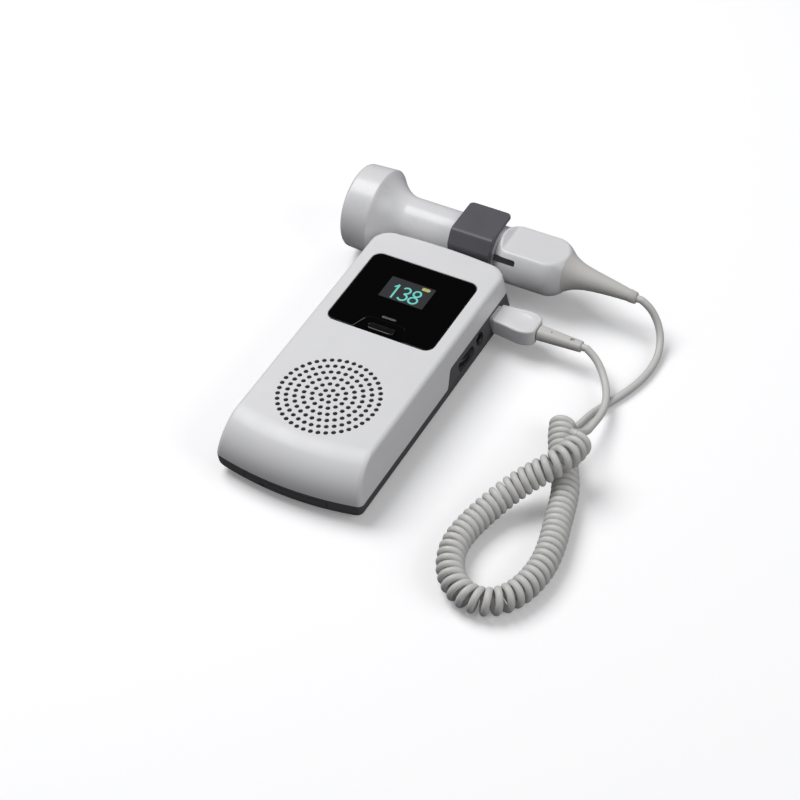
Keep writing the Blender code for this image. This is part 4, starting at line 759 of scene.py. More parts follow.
def head_y(z, x=0.0):
    return HEAD_TOP_Y + (HEAD_PARTING_Y - HEAD_TOP_Y) * slope_share(z) - HEAD_BOW * (x / wall_x(z)) ** 2


def end_curve(half, end, bow, radius, steps, stations):
    """One bowed end of the case with its two rounded corners, from +X to -X, facing +Y."""
    slope = math.atan(2 * bow / half)
    tangent = radius / math.tan((math.pi / 2 + slope) / 2)
    centre = (half - radius, end - bow - tangent)
    sweep = math.pi / 2 - slope
    corner = [(centre[0] + radius * math.cos(sweep * i / steps),
               centre[1] + radius * math.sin(sweep * i / steps)) for i in range(steps + 1)]
    reach = corner[-1][0]
    middle = []
    for i in range(1, stations):
        x = reach * (1 - 2 * i / stations)
        middle.append((x, end - bow * (x / half) ** 2))
    return corner + middle + [(-x, y) for x, y in reversed(corner)]


def case_ring(z, half, foot, head, foot_radius, head_radius, steps):
    head_points = end_curve(half, head, HEAD_BOW, head_radius, steps, 2 * steps)
    foot_points = end_curve(half, -foot, FOOT_BOW, foot_radius, steps - 2, 2 * steps)
    return [(x, y, z) for x, y in head_points] + [(-x, -y, z) for x, y in foot_points]


def back_ring(angle, inset, steps):
    z = BACK_EDGE * (1 - math.cos(angle))
    pulled = BACK_EDGE * (1 - math.sin(angle)) + BACK_DRAFT * (1 - z / PARTING) + inset
    return case_ring(z, PARTING_HALF_WIDTH - pulled, FOOT_FLAT_Y - FOOT_REACH + pulled,
                     HEAD_PARTING_Y - pulled, FOOT_CORNER + pulled * CORNER_GROWTH_SHARE, HEAD_CORNER, steps)


def front_ring(angle, inset, top, fillet, steps):
    z = PARTING + (top - PARTING) * math.sin(angle)
    over = max(0, z - (top - fillet))
    pulled = inset + (fillet - math.sqrt(max(0, fillet ** 2 - over ** 2)) if fillet else 0)
    foot = FOOT_FLAT_Y - (FOOT_REACH - inset) * math.cos(angle)
    return case_ring(z, wall_x(z) - pulled, foot, head_y(z) - pulled,
                     FOOT_CORNER - inset * CORNER_GROWTH_SHARE, HEAD_CORNER - inset, steps)


def case_body(name):
    rings = [back_ring(math.radians(a), 0, 12) for a in range(0, 91, 9)]
    rings += [front_ring(math.radians(a), 0, CASE_TOP, TOP_FILLET, 12)
              for a in [*range(0, 61, 6), *range(63, 91, 3)]]
    return loft(name, rings)


def case_shell(name):
    floor_angle = math.acos(1 - FLOOR / BACK_EDGE)
    rings = [back_ring(floor_angle, WALL, 8), back_ring(math.radians(90), WALL, 8)]
    rings += [front_ring(math.radians(a), WALL, CASE_TOP - TOP_WALL, 0, 8) for a in range(0, 91, 15)]
    return cut(case_body(name), loft("cavity", rings))


def notch_outline(clear):
    """The raised part of the port wall, seen from +X, as (y, z), shrunk by a clearance."""
    top = NOTCH_TOP - clear
    low = PARTING - NOTCH_CORNER
    start = NOTCH_FOOT_Y + clear
    steps = 20
    outline = [(start, low)]
    outline += [(start + NOTCH_STEP * i / steps,
                 PARTING + (top - PARTING) * (1 - math.cos(math.pi * i / steps)) / 2)
                for i in range(steps + 1)]
    end = NOTCH_HEAD_Y - clear
    outline += arc((end - NOTCH_CORNER, top - NOTCH_CORNER), NOTCH_CORNER, 90, 0, 8)
    outline.append((end, low))
    return list(reversed(outline))


def below_parting(name, level, clear):
    """Everything below the parting surface, with the raised port wall."""
    reach = PARTING_HALF_WIDTH + OVER
    far = FOOT_FLAT_Y - FOOT_REACH - OVER
    outline = [(-reach, far), (reach, far), (reach, HEAD_PARTING_Y + OVER), (-reach, HEAD_PARTING_Y + OVER)]
    slab = prism(name, outline, -OVER, level)
    return join(slab, prism("notch", notch_outline(clear), TOP_HALF_WIDTH - 2 * WALL, reach, "X"))


def screw_places():
    for side in (-1, 1):
        yield side * HEAD_SCREW[0], HEAD_SCREW[1]
        yield side * FOOT_SCREW[0], FOOT_SCREW[1]


def make_front():
    shell = cut(case_shell("case_front"), below_parting("below", PARTING + GAP / 2, 0))
    ceiling = CASE_TOP - TOP_WALL
    recess = growing(WINDOW_HALF, WINDOW_CORNER + GAP, (0, WINDOW_Y), 12, GAP)
    opening = rounded_rectangle(WINDOW_HALF[0] - WINDOW_LEDGE, WINDOW_HALF[1] - WINDOW_LEDGE / 2,
                                WINDOW_LEDGE / 2, (0, WINDOW_Y))
    cut(shell, flared("recess", recess, WINDOW_TOP - WINDOW_THICKNESS - GAP, CASE_TOP, LIP),
        prism("opening", opening, ceiling - OVER, CASE_TOP))
    mouth = GRILLE_HOLE_RADIUS + GRILLE_LIP
    hole = turned("hole", [(ceiling - OVER, 0), (ceiling - OVER, GRILLE_HOLE_RADIUS),
                           (CASE_TOP - GRILLE_LIP, GRILLE_HOLE_RADIUS), (CASE_TOP, mouth),
                           (CASE_TOP + OVER, mouth), (CASE_TOP + OVER, 0)], (0, 0), 16, "Z")
    # Black discs just under the face of each hole: the cloth behind the grille, and also painted shade that
    # covers the lit hole walls.
    hole_shade_cloth_top = CASE_TOP - HOLE_SHADE_CLOTH_DEPTH
    disc = rod("disc", GRILLE_HOLE_RADIUS + GRILLE_LIP / 2, hole_shade_cloth_top - CLOTH_THICKNESS, hole_shade_cloth_top, sides=16)
    form = ring_tree("perforations")
    rings = {"Rings": GRILLE_RINGS, "Pitch": GRILLE_PITCH, "Per Ring": GRILLE_HOLES_PER_RING,
             "Start": math.pi / 2, "Middle": True}
    holes = grown("grille_holes", hole, form, {**rings, "Material": white_case})
    hole_shade_cloth = grown("grille_cloth_and_hole_shade", disc, form, {**rings, "Material": cloth_and_hole_shade})
    for piece in (holes, hole_shade_cloth):
        piece.data.transform(Matrix.Translation((0, GRILLE_Y, 0)))
    cut(shell, holes)
    dressed(shell, white_case, "unit", "case_white", "front_cover")
    dressed(hole_shade_cloth, cloth_and_hole_shade, "unit", "gauze_black")


def bay_box():
    half = 2 * CELL_RADIUS + 2 * GAP
    return ((-half, BAY_FOOT_Y, DOOR_THICKNESS),
            (half, BAY_FOOT_Y + BAY_LENGTH, DOOR_THICKNESS + 2 * CELL_RADIUS + 2 * GAP))


def box(name, low, high):
    outline = [(low[0], low[1]), (high[0], low[1]), (high[0], high[1]), (low[0], high[1])]
    return prism(name, outline, low[2], high[2])


def door_space(name, clear):
    """The space of the battery door: a plate in the back and its turned-up end."""
    half = DOOR_HALF_WIDTH + clear
    far = FOOT_FLAT_Y - FOOT_REACH - OVER
    head = bay_box()[1][1] + BAY_RIM + clear
    plate = box(name, (-half, far, -OVER), (half, head, DOOR_THICKNESS + clear))
    return join(plate, box("end", (-half, far, 0), (half, DOOR_END_Y + clear, DOOR_END_HEIGHT + clear)))


def make_rear():
    shell = keep(case_shell("case_rear"), below_parting("below", PARTING - GAP / 2, GAP))
    bay = bay_box()
    rim_low = DOOR_THICKNESS + GAP
    rim_half = DOOR_HALF_WIDTH + GAP + BAY_RIM
    join(shell, box("rim", (-rim_half, bay[0][1] - BAY_WALL, rim_low),
                    (rim_half, bay[1][1] + 2 * BAY_RIM, rim_low + BAY_RIM_THICKNESS)),
         box("bay", (bay[0][0] - BAY_WALL, bay[0][1] - BAY_WALL, rim_low),
             (bay[1][0] + BAY_WALL, bay[1][1] + BAY_WALL, bay[1][2] + BAY_WALL)))
    sink = SCREW_HEAD_RADIUS + GAP
    for x, y in screw_places():
        join(shell, rod("post", POST_RADIUS, FLOOR / 2, POST_TOP, (x, y)))
        cut(shell, turned("sink", [(-OVER, 0), (-OVER, sink + LIP), (0, sink + LIP), (LIP, sink),
                                   (SCREW_SEAT, sink), (SCREW_SEAT, 0)], (x, y), 40, "Z"),
            rod("bore", SCREW_RADIUS + GAP, 0, BOARD_Z, (x, y), 24))
    cut(shell, box("bay_room", (bay[0][0], bay[0][1], -OVER), bay[1]), door_space("door_room", GAP))
    slot = rounded_rectangle(*WHEEL_SLOT_HALF, WHEEL_SLOT_HALF[1] - GAP, (WHEEL_Y, WHEEL_Z))
    nose = rounded_rectangle(PLUG_NOSE_HALF[0] + GAP, PLUG_NOSE_HALF[1] + GAP, PLUG_NOSE_HALF[1] / 2,
                             (PLUG_Y, PLUG_Z))
    collar = circle(JACK_COLLAR_RADIUS + GAP, 40, (JACK_Y, JACK_Z))
    cut(shell, *[prism("opening", outline, TOP_HALF_WIDTH - 2 * WALL, PARTING_HALF_WIDTH + OVER, "X")
                 for outline in (slot, nose, collar)])
    dressed(shell, charcoal_case, "unit", "case_charcoal", "rear_cover")


def make_door():
    door = keep(case_body("door_panel"), door_space("door_space", 0))
    far = FOOT_FLAT_Y - FOOT_REACH
    latch_y = far + FOOT_BOW * (LATCH_X / PARTING_HALF_WIDTH) ** 2 + BACK_DRAFT
    latch = rounded_rectangle(LATCH_HALF_WIDTH, LATCH_HALF_HEIGHT, LATCH_HALF_HEIGHT / 2,
                              (LATCH_X, LATCH_Z), 6)
    cut(door, prism("latch", latch, far - OVER, latch_y + LATCH_DEPTH, "Y"))
    rib = prism("rib", rounded_rectangle(GRIP_HALF_LENGTH, GRIP_PITCH / 4, GRIP_PITCH / 5, (0, 0), 6), -OVER,
                GRIP_DEPTH)
    cut(door, grown("grip_ribs", rib, row_tree("grip row"), {
        "Count": GRIP_COUNT, "Start": (0, GRIP_Y, 0), "Step": (0, GRIP_PITCH, 0), "Material": charcoal_case}))
    dressed(door, charcoal_case, "door", "case_charcoal", "battery_door")


# Window, display and button

def edged_plate(name, outline_at, low, high, edge, steps=4):
    """A plate whose upper edge is a quarter round."""
    rings = [(low, 0)]
    for i in range(steps + 1):
        angle = math.pi / 2 * i / steps
        rings.append((high - edge + edge * math.sin(angle), -edge * (1 - math.cos(angle))))
    return loft(name, [[(x, y, level) for x, y in outline_at(grow)] for level, grow in rings])


def arch_outline(grow):
    """The shallow raised surround of the button: a flat top that spreads to the window's lower edge."""
    top = ARCH_TOP_Y + grow
    low = WINDOW_Y - WINDOW_HALF[1] - OVER
    right = [(ARCH_FOOT_HALF + grow, low)]
    lean = math.degrees(math.atan2(ARCH_FOOT_HALF - ARCH_TOP_HALF, ARCH_TOP_Y - low))
    right += arc((ARCH_TOP_HALF - ARCH_CORNER + grow, top - ARCH_CORNER), ARCH_CORNER, lean, 90, 8)
    return right + [(-x, y) for x, y in reversed(right)]


def make_window():
    low = WINDOW_TOP - WINDOW_THICKNESS
    button_at, light_at = (0, BUTTON_Y), (0, LIGHT_Y)
    window = edged_plate("window_pane", growing(WINDOW_HALF, WINDOW_CORNER, (0, WINDOW_Y), 12),
                         low, WINDOW_TOP, WINDOW_EDGE)
    pill = growing(BUTTON_HALF, BUTTON_HALF[1], button_at, 10, GAP)
    bar = growing(LIGHT_HALF, LIGHT_HALF[1], light_at, 6, GAP / 3)
    cut(window, flared("arch", arch_outline, WINDOW_TOP - ARCH_DEPTH, WINDOW_TOP, LIP),
        flared("pill", pill, low - OVER, WINDOW_TOP - ARCH_DEPTH, LIP),
        prism("bar", bar(0), low - OVER, WINDOW_TOP + OVER))
    dressed(window, window_gloss, "unit", "window_black", "display_window")
    button = edged_plate("button_cap", growing(BUTTON_HALF, BUTTON_HALF[1] - GAP / 2, button_at, 10),
                         low - BUTTON_SKIRT, WINDOW_TOP + BUTTON_PROUD, BUTTON_EDGE)
    dressed(button, button_gloss, "button", "button_black", "power_button")
    lens = edged_plate("light_bar", growing(LIGHT_HALF, LIGHT_HALF[1] - GAP / 6, light_at, 6),
                       low - LIGHT_SKIRT, WINDOW_TOP, LIGHT_EDGE, 2)
    dressed(lens, lens_grey, "unit", "lens_smoked", "indicator_lens")


def ribbon(path, width, low, high, closed):
    """A flat stroke of even width along a path."""
    count = len(path)
    rings = []
    for i, (x, y) in enumerate(path):
        before = path[i - 1] if closed or i else path[0]
        after = path[(i + 1) % count] if closed or i < count - 1 else path[-1]
        way = Vector((after[0] - before[0], after[1] - before[1])).normalized() * (width / 2)
        left, right = (x - way.y, y + way.x), (x + way.y, y - way.x)
        rings.append([(*left, low), (*right, low), (*right, high), (*left, high)])
    if closed:
        rings.append(rings[0])
    return loft("stroke", rings, not closed)


def gathered(name, pieces):
    """One piece from several, with the points that they share merged."""
    bm = bmesh.new()
    for piece in pieces:
        bm.from_mesh(piece.data)
        bpy.data.objects.remove(piece, do_unlink=True)
    bmesh.ops.remove_doubles(bm, verts=bm.verts, dist=1e-8)
    return from_bmesh(name, bm)


def make_digits(low, film):
    """138, each digit from strokes of even width, and each stroke a little higher than the one before."""
    foot, tall, half = DIGITS_FOOT, DIGITS_TOP - DIGITS_FOOT, DIGIT_STROKE / 2

    def bowl(x, form, first, last):
        share, reach, width = form
        return oval((x, foot + share * tall), (width, reach * tall - half), first, last)

    flag = [foot + share * tall for share in ONE_FLAG_SHARES]
    upper, lower = THREE_BOWLS
    strokes = [([(DIGITS_LEFT + half, flag[0]), (ONE_X - half, flag[1]), (ONE_X, DIGITS_TOP)], False),
               ([(ONE_X, DIGITS_TOP), (ONE_X, foot)], False),
               (bowl(THREE_X, upper, 155, -90) + bowl(THREE_X, lower, 90, -155), False)]
    strokes += [(bowl(EIGHT_X, form, 0, NEARLY_ROUND), True) for form in EIGHT_BOWLS]
    return gathered("screen_digits", [
        ribbon(path, DIGIT_STROKE, low, low + film * (1 + STROKE_RISE * i), closed)
        for i, (path, closed) in enumerate(strokes)])


def make_screen():
    top = WINDOW_TOP + SCREEN_FILM
    high = top + SCREEN_FILM
    area = prism("screen_area", rounded_rectangle(*SCREEN_HALF, SCREEN_CORNER, SCREEN_AT, 3),
                 WINDOW_TOP - SCREEN_FILM, top)
    dressed(area, screen_glow, "unit", "display_dark")
    dressed(make_digits(top, SCREEN_FILM), digit_glow, "unit", "display_dark")
    x, y = BATTERY_AT
    half, line = BATTERY_HALF, BATTERY_LINE
    icon = prism("screen_battery", rounded_rectangle(*half, SCREEN_CORNER, BATTERY_AT, 3), top, high)
    inner = rounded_rectangle(half[0] - line, half[1] - line, SCREEN_CORNER / 2, BATTERY_AT, 3)
    cut(icon, prism("inner", inner, top - OVER, top + OVER))
    join(icon, box("tip", (x + half[0] - line / 3, y - BATTERY_TIP_HALF, top),
                   (x + half[0] + line, y + BATTERY_TIP_HALF, high)))
    reach = half[1] - CHARGE_INSET
    cell = box("cell", (-CHARGE_HALF_WIDTH, -reach, top), (CHARGE_HALF_WIDTH, reach, high))
    join(icon, grown("bars", cell, row_tree("charge bars"), {
        "Count": 3, "Start": (x - CHARGE_PITCH, y, 0), "Step": (CHARGE_PITCH, 0, 0), "Material": icon_glow}))
    dressed(icon, icon_glow, "unit", "display_dark")


# Ports

def make_wheel():
    x = wall_x(WHEEL_Z) + WHEEL_PROUD - WHEEL_RADIUS
    low, high = WHEEL_Z - WHEEL_THICKNESS / 2, WHEEL_Z + WHEEL_THICKNESS / 2
    rim = WHEEL_RADIUS - WHEEL_RIB_RADIUS
    edge = WHEEL_EDGE
    ring = turned("ring", [(low, SHAFT_RADIUS), (low, rim - edge), (low + edge, rim), (high - edge, rim),
                           (high, rim - edge), (high, SHAFT_RADIUS), (low, SHAFT_RADIUS)], (0, 0), 88, "Z")
    wheel = gathered("wheel_disc", [ring])
    rib = rod("rib", WHEEL_RIB_RADIUS, low + edge, high - edge, sides=10)
    join(wheel, grown("ribs", rib, ring_tree("wheel ribs"), {
        "Rings": 1, "Pitch": rim, "Per Ring": WHEEL_RIBS, "Start": 0.0, "Middle": False,
        "Material": wheel_black}))
    wheel.data.transform(Matrix.Translation((x, WHEEL_Y, 0)))
    dressed(wheel, wheel_black, "wheel", "wheel_black", "volume_wheel")


def make_jack():
    inner = TOP_HALF_WIDTH - WALL
    face = wall_x(JACK_Z) - GAP
    top = BOARD_Z - GAP
    length, width, depth = JACK_BODY
    edge = JACK_EDGE
    jack = softened(box("jack_barrel", (inner - length, JACK_Y - width / 2, top - depth),
                        (inner, JACK_Y + width / 2, top)), edge, 2)
    collar = [(inner - OVER, 0), (inner - OVER, JACK_COLLAR_RADIUS), (face - edge, JACK_COLLAR_RADIUS),
              (face, JACK_COLLAR_RADIUS - edge), (face, 0)]
    start = inner - length + OVER
    mouth = JACK_BORE_RADIUS + edge
    bore = [(start, 0), (start, JACK_BORE_RADIUS), (face - edge, JACK_BORE_RADIUS), (face, mouth),
            (face + OVER, mouth), (face + OVER, 0)]
    join(jack, turned("collar", collar, (JACK_Y, JACK_Z), 40))
    cut(jack, turned("bore", bore, (JACK_Y, JACK_Z), 32))
    dressed(jack, jack_black, "unit", "jack_black", "headphone_jack")


def make_case_screws():
    top = SCREW_SEAT - GAP
    low = top - SCREW_HEAD_HEIGHT
    screw = turned("screw", [(low, 0), (low, SCREW_HEAD_RADIUS - SCREW_HEAD_EDGE),
                             (low + SCREW_HEAD_EDGE, SCREW_HEAD_RADIUS), (top, SCREW_HEAD_RADIUS),
                             (top, SCREW_RADIUS), (BOARD_Z, SCREW_RADIUS), (BOARD_Z, 0)], (0, 0), 32, "Z")
    arm, reach = SCREW_CROSS_ARM, SCREW_RADIUS
    cut(screw, *[box("cross", (-a, -b, 0), (a, b, low + SCREW_HEAD_HEIGHT / 2))
                 for a, b in ((reach, arm), (arm, reach))])
    form = row_tree("screw pair")
    for name, (x, y), nodes in (("case_screws_foot", FOOT_SCREW, ("case_screw_2", "case_screw_4")),
                                ("case_screws_head", HEAD_SCREW, ("case_screw_1", "case_screw_3"))):
        pair = grown(name, link("copy", screw.data.copy()), form, {
            "Count": 2, "Start": (-x, y, 0), "Step": (2 * x, 0, 0), "Material": screw_steel})
        dressed(pair, screw_steel, "unit", "screw_steel", *nodes)
    bpy.data.objects.remove(screw, do_unlink=True)


# Probe and its holder

def make_holder():
    inner = NECK_RADIUS + GAP
    outer = inner + HOLDER_ARM
    top, low = PROBE_Z + outer, PROBE_Z - outer
    top_inner, low_inner = PROBE_Z + inner, PROBE_Z - inner
    spine_low = HEAD_PARTING_Y + GAP
    spine_top = head_y(CASE_TOP) + GAP + TOP_FILLET / 2
    upper_end = PROBE_Y + HOLDER_UPPER_REACH
    lower_end = PROBE_Y + HOLDER_LOWER_REACH
    corner = HOLDER_CORNER
    outline = [(lower_end, low), (lower_end + corner / 2, low + corner / 2), (lower_end, low_inner)]
    outline += arc((PROBE_Y, PROBE_Z), inner, -90, -270, 32)
    outline += [(upper_end, top_inner), (upper_end, top)]
    shoulder_y = PROBE_Y - inner * HOLDER_SHOULDER_SHARE
    outline += [(shoulder_y - back * corner, top - down * corner) for back, down in HOLDER_SHOULDER]
    outline += [(spine_top, CASE_TOP + corner), (spine_top, CASE_TOP - TOP_FILLET),
                (spine_low, PARTING + corner), (spine_low, HOLDER_SCREW_Z - HOLDER_SCREW_FOOT),
                (spine_low + 2 * corner, low)]
    holder = prism("holder_clip", outline, HOLDER_X, HOLDER_X + HOLDER_WIDTH, "X")
    plan = rounded_rectangle(HOLDER_WIDTH / 2 + GAP, upper_end - HEAD_TOP_Y, HOLDER_PLAN_CORNER,
                             (HOLDER_X + HOLDER_WIDTH / 2, HEAD_TOP_Y))
    keep(holder, prism("plan", plan, low - OVER, top + OVER))
    softened(holder, HOLDER_EDGE, 4, 28)
    dressed(holder, slate_plastic, "unit", "holder_slate", "probe_holder")


def flare(x):
    share = min(1, max(0, (x - RIM_X) / FLARE_LENGTH))
    return NECK_RADIUS + (RIM_RADIUS - NECK_RADIUS) * (1 - share) ** FLARE_POWER


def handle_radius(x):
    """Swell from the neck, straight grip, rounded shoulder, then the long taper of the boot."""
    if x < NECK_END_X + HANDLE_SWELL:
        share = (x - NECK_END_X) / HANDLE_SWELL
        return NECK_RADIUS + (HANDLE_RADIUS - NECK_RADIUS) * math.sin(share * math.pi / 2)
    if x < HANDLE_SHOULDER_X:
        return HANDLE_RADIUS
    if x < HANDLE_END_X:
        share = (x - HANDLE_SHOULDER_X) / (HANDLE_END_X - HANDLE_SHOULDER_X)
        return HANDLE_RADIUS - (HANDLE_RADIUS - HANDLE_END_RADIUS) * share ** 2
    left = max(0, 1 - (x - HANDLE_END_X) / (BOOT_END_X - HANDLE_END_X))
    shoulder = HANDLE_END_RADIUS - BOOT_END_RADIUS - BOOT_TAPER
    return BOOT_END_RADIUS + BOOT_TAPER * left + shoulder * left ** BOOT_HOLLOW_POWER


def lower_of(a, b, soft):
    """The lower of two heights, rounded where they cross."""
    near = max(soft - abs(a - b), 0) / soft
    return min(a, b) - near ** 2 * soft / 4


def facet_height(x):
    return FACET_HEIGHT + max(0, FACET_START_X - x) * FACET_RISE


def grip_ring(x, radius, drop=0.0, sides=120):
    """A ring of the handle or its boot, with the flat of the grip."""
    return [(x, PROBE_Y + y, PROBE_Z - drop + lower_of(z, facet_height(x), FACET_SOFTNESS))
            for y, z in circle(radius, sides)]


def make_head():
    axis = (PROBE_Y, PROBE_Z)
    front = FACE_X + FACE_THICKNESS + SEAM
    bowl = HEAD_RADIUS - PROBE_WALL
    rim_start = RIM_X - RIM_EDGE
    outer = [(front, bowl), (front, HEAD_RADIUS)]
    outer += [(front + (rim_start - front) * i / 4, HEAD_RADIUS + (RIM_RADIUS - HEAD_RADIUS) * i / 4)
              for i in (1, 2, 3, 4)]
    outer += [(rim_start + RIM_EDGE * math.sin(a), RIM_RADIUS - RIM_EDGE * (1 - math.cos(a)))
              for a in (math.radians(30), math.radians(60))]
    steps = 36
    for i in range(steps + 1):
        x = RIM_X + FLARE_LENGTH * i / steps
        if flare(x) < outer[-1][1] - RIM_EDGE / 3:
            outer.append((x, flare(x)))
    outer += [(NECK_END_X - PROBE_STEP, NECK_RADIUS), (NECK_END_X, NECK_RADIUS - PROBE_STEP), (NECK_END_X, 0)]
    head = turned("probe_head", [(front + HEAD_RECESS, 0), (front + HEAD_RECESS, bowl)] + outer, axis, 120)
    dressed(head, probe_gloss, "probe", "probe_white", "probe_head_shell", sharp=50)

    back = FACE_X + FACE_THICKNESS
    face = [(FACE_X, 0), (FACE_X, HEAD_RADIUS * 0.5), (FACE_X, HEAD_RADIUS - 1.2 * FACE_ROUND)]
    face += [(FACE_X + FACE_THICKNESS * (1 - math.cos(a)), HEAD_RADIUS - FACE_ROUND * (1 - math.sin(a)))
             for a in map(math.radians, range(6, 91, 7))]
    face += [(back, HEAD_RADIUS), (back, 0)]
    membrane = turned("probe_membrane", face, axis, 120)
    dressed(membrane, face_pearl, "probe", "face_pearl", "probe_face", sharp=50)


def make_grip():
    start, end = NECK_END_X + SEAM, HANDLE_END_X
    stations = [start + PROBE_STEP] + [start + HANDLE_SWELL * i / 12 for i in range(1, 13)]
    stations += [stations[-1] + (HANDLE_SHOULDER_X - stations[-1]) * i / 8 for i in range(1, 9)]
    stations += [HANDLE_SHOULDER_X + (end - HANDLE_SHOULDER_X) * i / 14 for i in range(1, 14)]
    rings = [grip_ring(start, handle_radius(start) - PROBE_STEP)]
    rings += [grip_ring(x, handle_radius(x)) for x in stations]
    rings += [grip_ring(end - BOOT_STEP, handle_radius(end)), grip_ring(end, handle_radius(end) - BOOT_STEP)]
    grip = loft("probe_grip", rings)
    length, half, step = GROOVE_END_X - start, GROOVE_HALF_HEIGHT, PROBE_STEP
    slot = rounded_rectangle(length, half, half * 0.7, (start, 0))
    # A near-black strip fills the inner part of the groove, so the groove shows darker than the handle.
    strip_outline = [(max(x, start + step), z)
             for x, z in rounded_rectangle(length - step, half - step / 2, half * 0.65, (start, 0))]
    floor = GROOVE_DEPTH - HANDLE_RADIUS
    groove = prism("groove", slot, -(HANDLE_RADIUS + OVER), floor, "Y")
    strip = prism("grip_groove_strip", strip_outline, GROOVE_STRIP_DEPTH - HANDLE_RADIUS, floor + step, "Y")
    turn = Matrix.Translation((0, PROBE_Y, PROBE_Z)) @ Matrix.Rotation(-GROOVE_ANGLE, 4, "X")
    for piece in (groove, strip):
        piece.data.transform(turn)
    cut(grip, groove)
    dressed(grip, probe_gloss, "probe", "probe_white", "probe_handle", sharp=40)
    dressed(strip, groove_strip_dark, "probe", "holder_slate")


def make_boot():
    start = HANDLE_END_X + 2 * SEAM
    cuff = BOOT_END_X - BOOT_CUFF
    count = 48

    def droop(x):
        return BOOT_DROOP * ((x - start) / (BOOT_END_X - start)) ** 2

    rings = [grip_ring(start, handle_radius(start) - BOOT_STEP),
             grip_ring(start + BOOT_STEP, handle_radius(start + BOOT_STEP))]
    for i in range(1, count + 1):
        x = start + (cuff - start) * i / count
        rings.append(grip_ring(x, handle_radius(x), droop(x)))
    for x, radius in ((cuff + CUFF_RISE / 2, handle_radius(cuff) + CUFF_RISE),
                      (BOOT_END_X - CUFF_EDGE, BOOT_END_RADIUS + CUFF_EDGE), (BOOT_END_X, BOOT_END_RADIUS)):
        rings.append(grip_ring(x, radius, droop(x)))
    boot = loft("probe_strain_relief", rings)
    dressed(boot, boot_rubber, "probe", "boot_grey", "probe_boot", sharp=40)


# Plug

def plug_outline(start):
    """The plug's body from above, as (x, y): parallel at the wall, widening, with a round end."""
    side = [(start + PLUG_LENGTH * along, PLUG_HALF[0] * across) for along, across in PLUG_SIDE]
    shoulder = PLUG_LENGTH * PLUG_SIDE[-1][0]
    for i in range(1, 13):
        angle = math.pi / 2 * i / 12
        across = PLUG_END_SHARE + (1 - PLUG_END_SHARE) * math.cos(angle)
        side.append((start + shoulder + (PLUG_LENGTH - shoulder) * math.sin(angle), PLUG_HALF[0] * across))
    return [(x, PLUG_Y - y) for x, y in side] + [(x, PLUG_Y + y) for x, y in reversed(side)]


def dimple(x):
    """The shallow hollow in the plug's top, cut by a large smooth egg."""
    bm = bmesh.new()
    bmesh.ops.create_uvsphere(bm, u_segments=96, v_segments=96, radius=1.0)
    rise = DIMPLE_REACH - DIMPLE_DEPTH
    spread = 1 / math.sqrt(1 - (rise / DIMPLE_REACH) ** 2)
    stretch = Matrix.Diagonal((DIMPLE_HALF[0] * spread, DIMPLE_HALF[1] * spread, DIMPLE_REACH, 1.0))
    place = Matrix.Translation((x, PLUG_Y, PLUG_Z + PLUG_HALF[1] + rise))
    bmesh.ops.transform(bm, matrix=place @ stretch, verts=bm.verts)
    return from_bmesh("dimple", bm)


def make_plug():
    start = wall_x(PLUG_Z) + GAP
    body = prism("plug_body", plug_outline(start), PLUG_Z - PLUG_HALF[1], PLUG_Z + PLUG_HALF[1])
    softened(body, PLUG_SOFT, 5, 50)
    nose = rounded_rectangle(*PLUG_NOSE_HALF, PLUG_NOSE_HALF[1] / 2, (PLUG_Y, PLUG_Z), 6)
    join(body, prism("nose", nose, start - PLUG_NOSE_DEPTH, start + OVER, "X"))
    cut(body, dimple(start + DIMPLE_INSET))
    dressed(body, probe_gloss, "plug", "probe_white", "connector_shell", sharp=40)

    boot_start = start + PLUG_LENGTH + GAP
    count = 24
    first, last = PLUG_BOOT_RADII
    collar = last + PLUG_BOOT_COLLAR
    near, far = PLUG_BOOT_ENDS
    profile = [(0.0, first - PLUG_BOOT_STEP), (near, first)]
    profile += [(i / count, first + (collar - first) * i / count) for i in range(1, count)]
    profile += [(far, collar), (1.0, last + PLUG_BOOT_COLLAR / 2)]
    boot = loft("plug_strain_relief", [
        [(boot_start + PLUG_BOOT_LENGTH * share, PLUG_Y + y,
          PLUG_Z + lower_of(z, radius * PLUG_BOOT_FLAT, PLUG_BOOT_SOFTNESS)) for y, z in circle(radius, 48)]
        for share, radius in profile])
    dot = circle(DOT_RADIUS, 16, (boot_start + PLUG_BOOT_LENGTH * DOT_SHARE, PLUG_Y))
    mark = rounded_rectangle(*MARK_HALF, MARK_CORNER, (boot_start + PLUG_BOOT_LENGTH * MARK_SHARE, PLUG_Y), 4)
    above = PLUG_Z + PLUG_HALF[1] + OVER
    cut(boot, prism("dot", dot, PLUG_Z + DOT_FOOT, above), prism("mark", mark, PLUG_Z + MARK_FOOT, above))
    dressed(boot, boot_rubber, "plug", "boot_grey", "connector_boot", sharp=40)
    return boot_start + PLUG_BOOT_LENGTH


# Cord

def smooth_path(points, step, before=None, after=None):
    """Evenly spaced points on a smooth curve through the given ones, led in and out by one more each."""
    knots = [Vector(p) for p in points]
    before = before or knots[0] * 2 - knots[1]
    after = after or knots[-1] * 2 - knots[-2]
    ends = [before] + knots + [after]
    fine = []
    for a, b, c, d in zip(ends, ends[1:], ends[2:], ends[3:]):
        for i in range(24):
            t = i / 24
            fine.append(0.5 * (2 * b + (c - a) * t + (2 * a - 5 * b + 4 * c - d) * t ** 2
                               + (3 * b - 3 * c + d - a) * t ** 3))
    fine.append(knots[-1])
    lengths = [0.0]
    for first, second in zip(fine, fine[1:]):
        lengths.append(lengths[-1] + (second - first).length)
    count = max(2, round(lengths[-1] / step))
    even = []
    place = 0
    for i in range(count + 1):
        target = lengths[-1] * i / count
        while place < len(lengths) - 2 and lengths[place + 1] < target:
            place += 1
        share = (target - lengths[place]) / (lengths[place + 1] - lengths[place])
        even.append(fine[place].lerp(fine[place + 1], share))
    return even


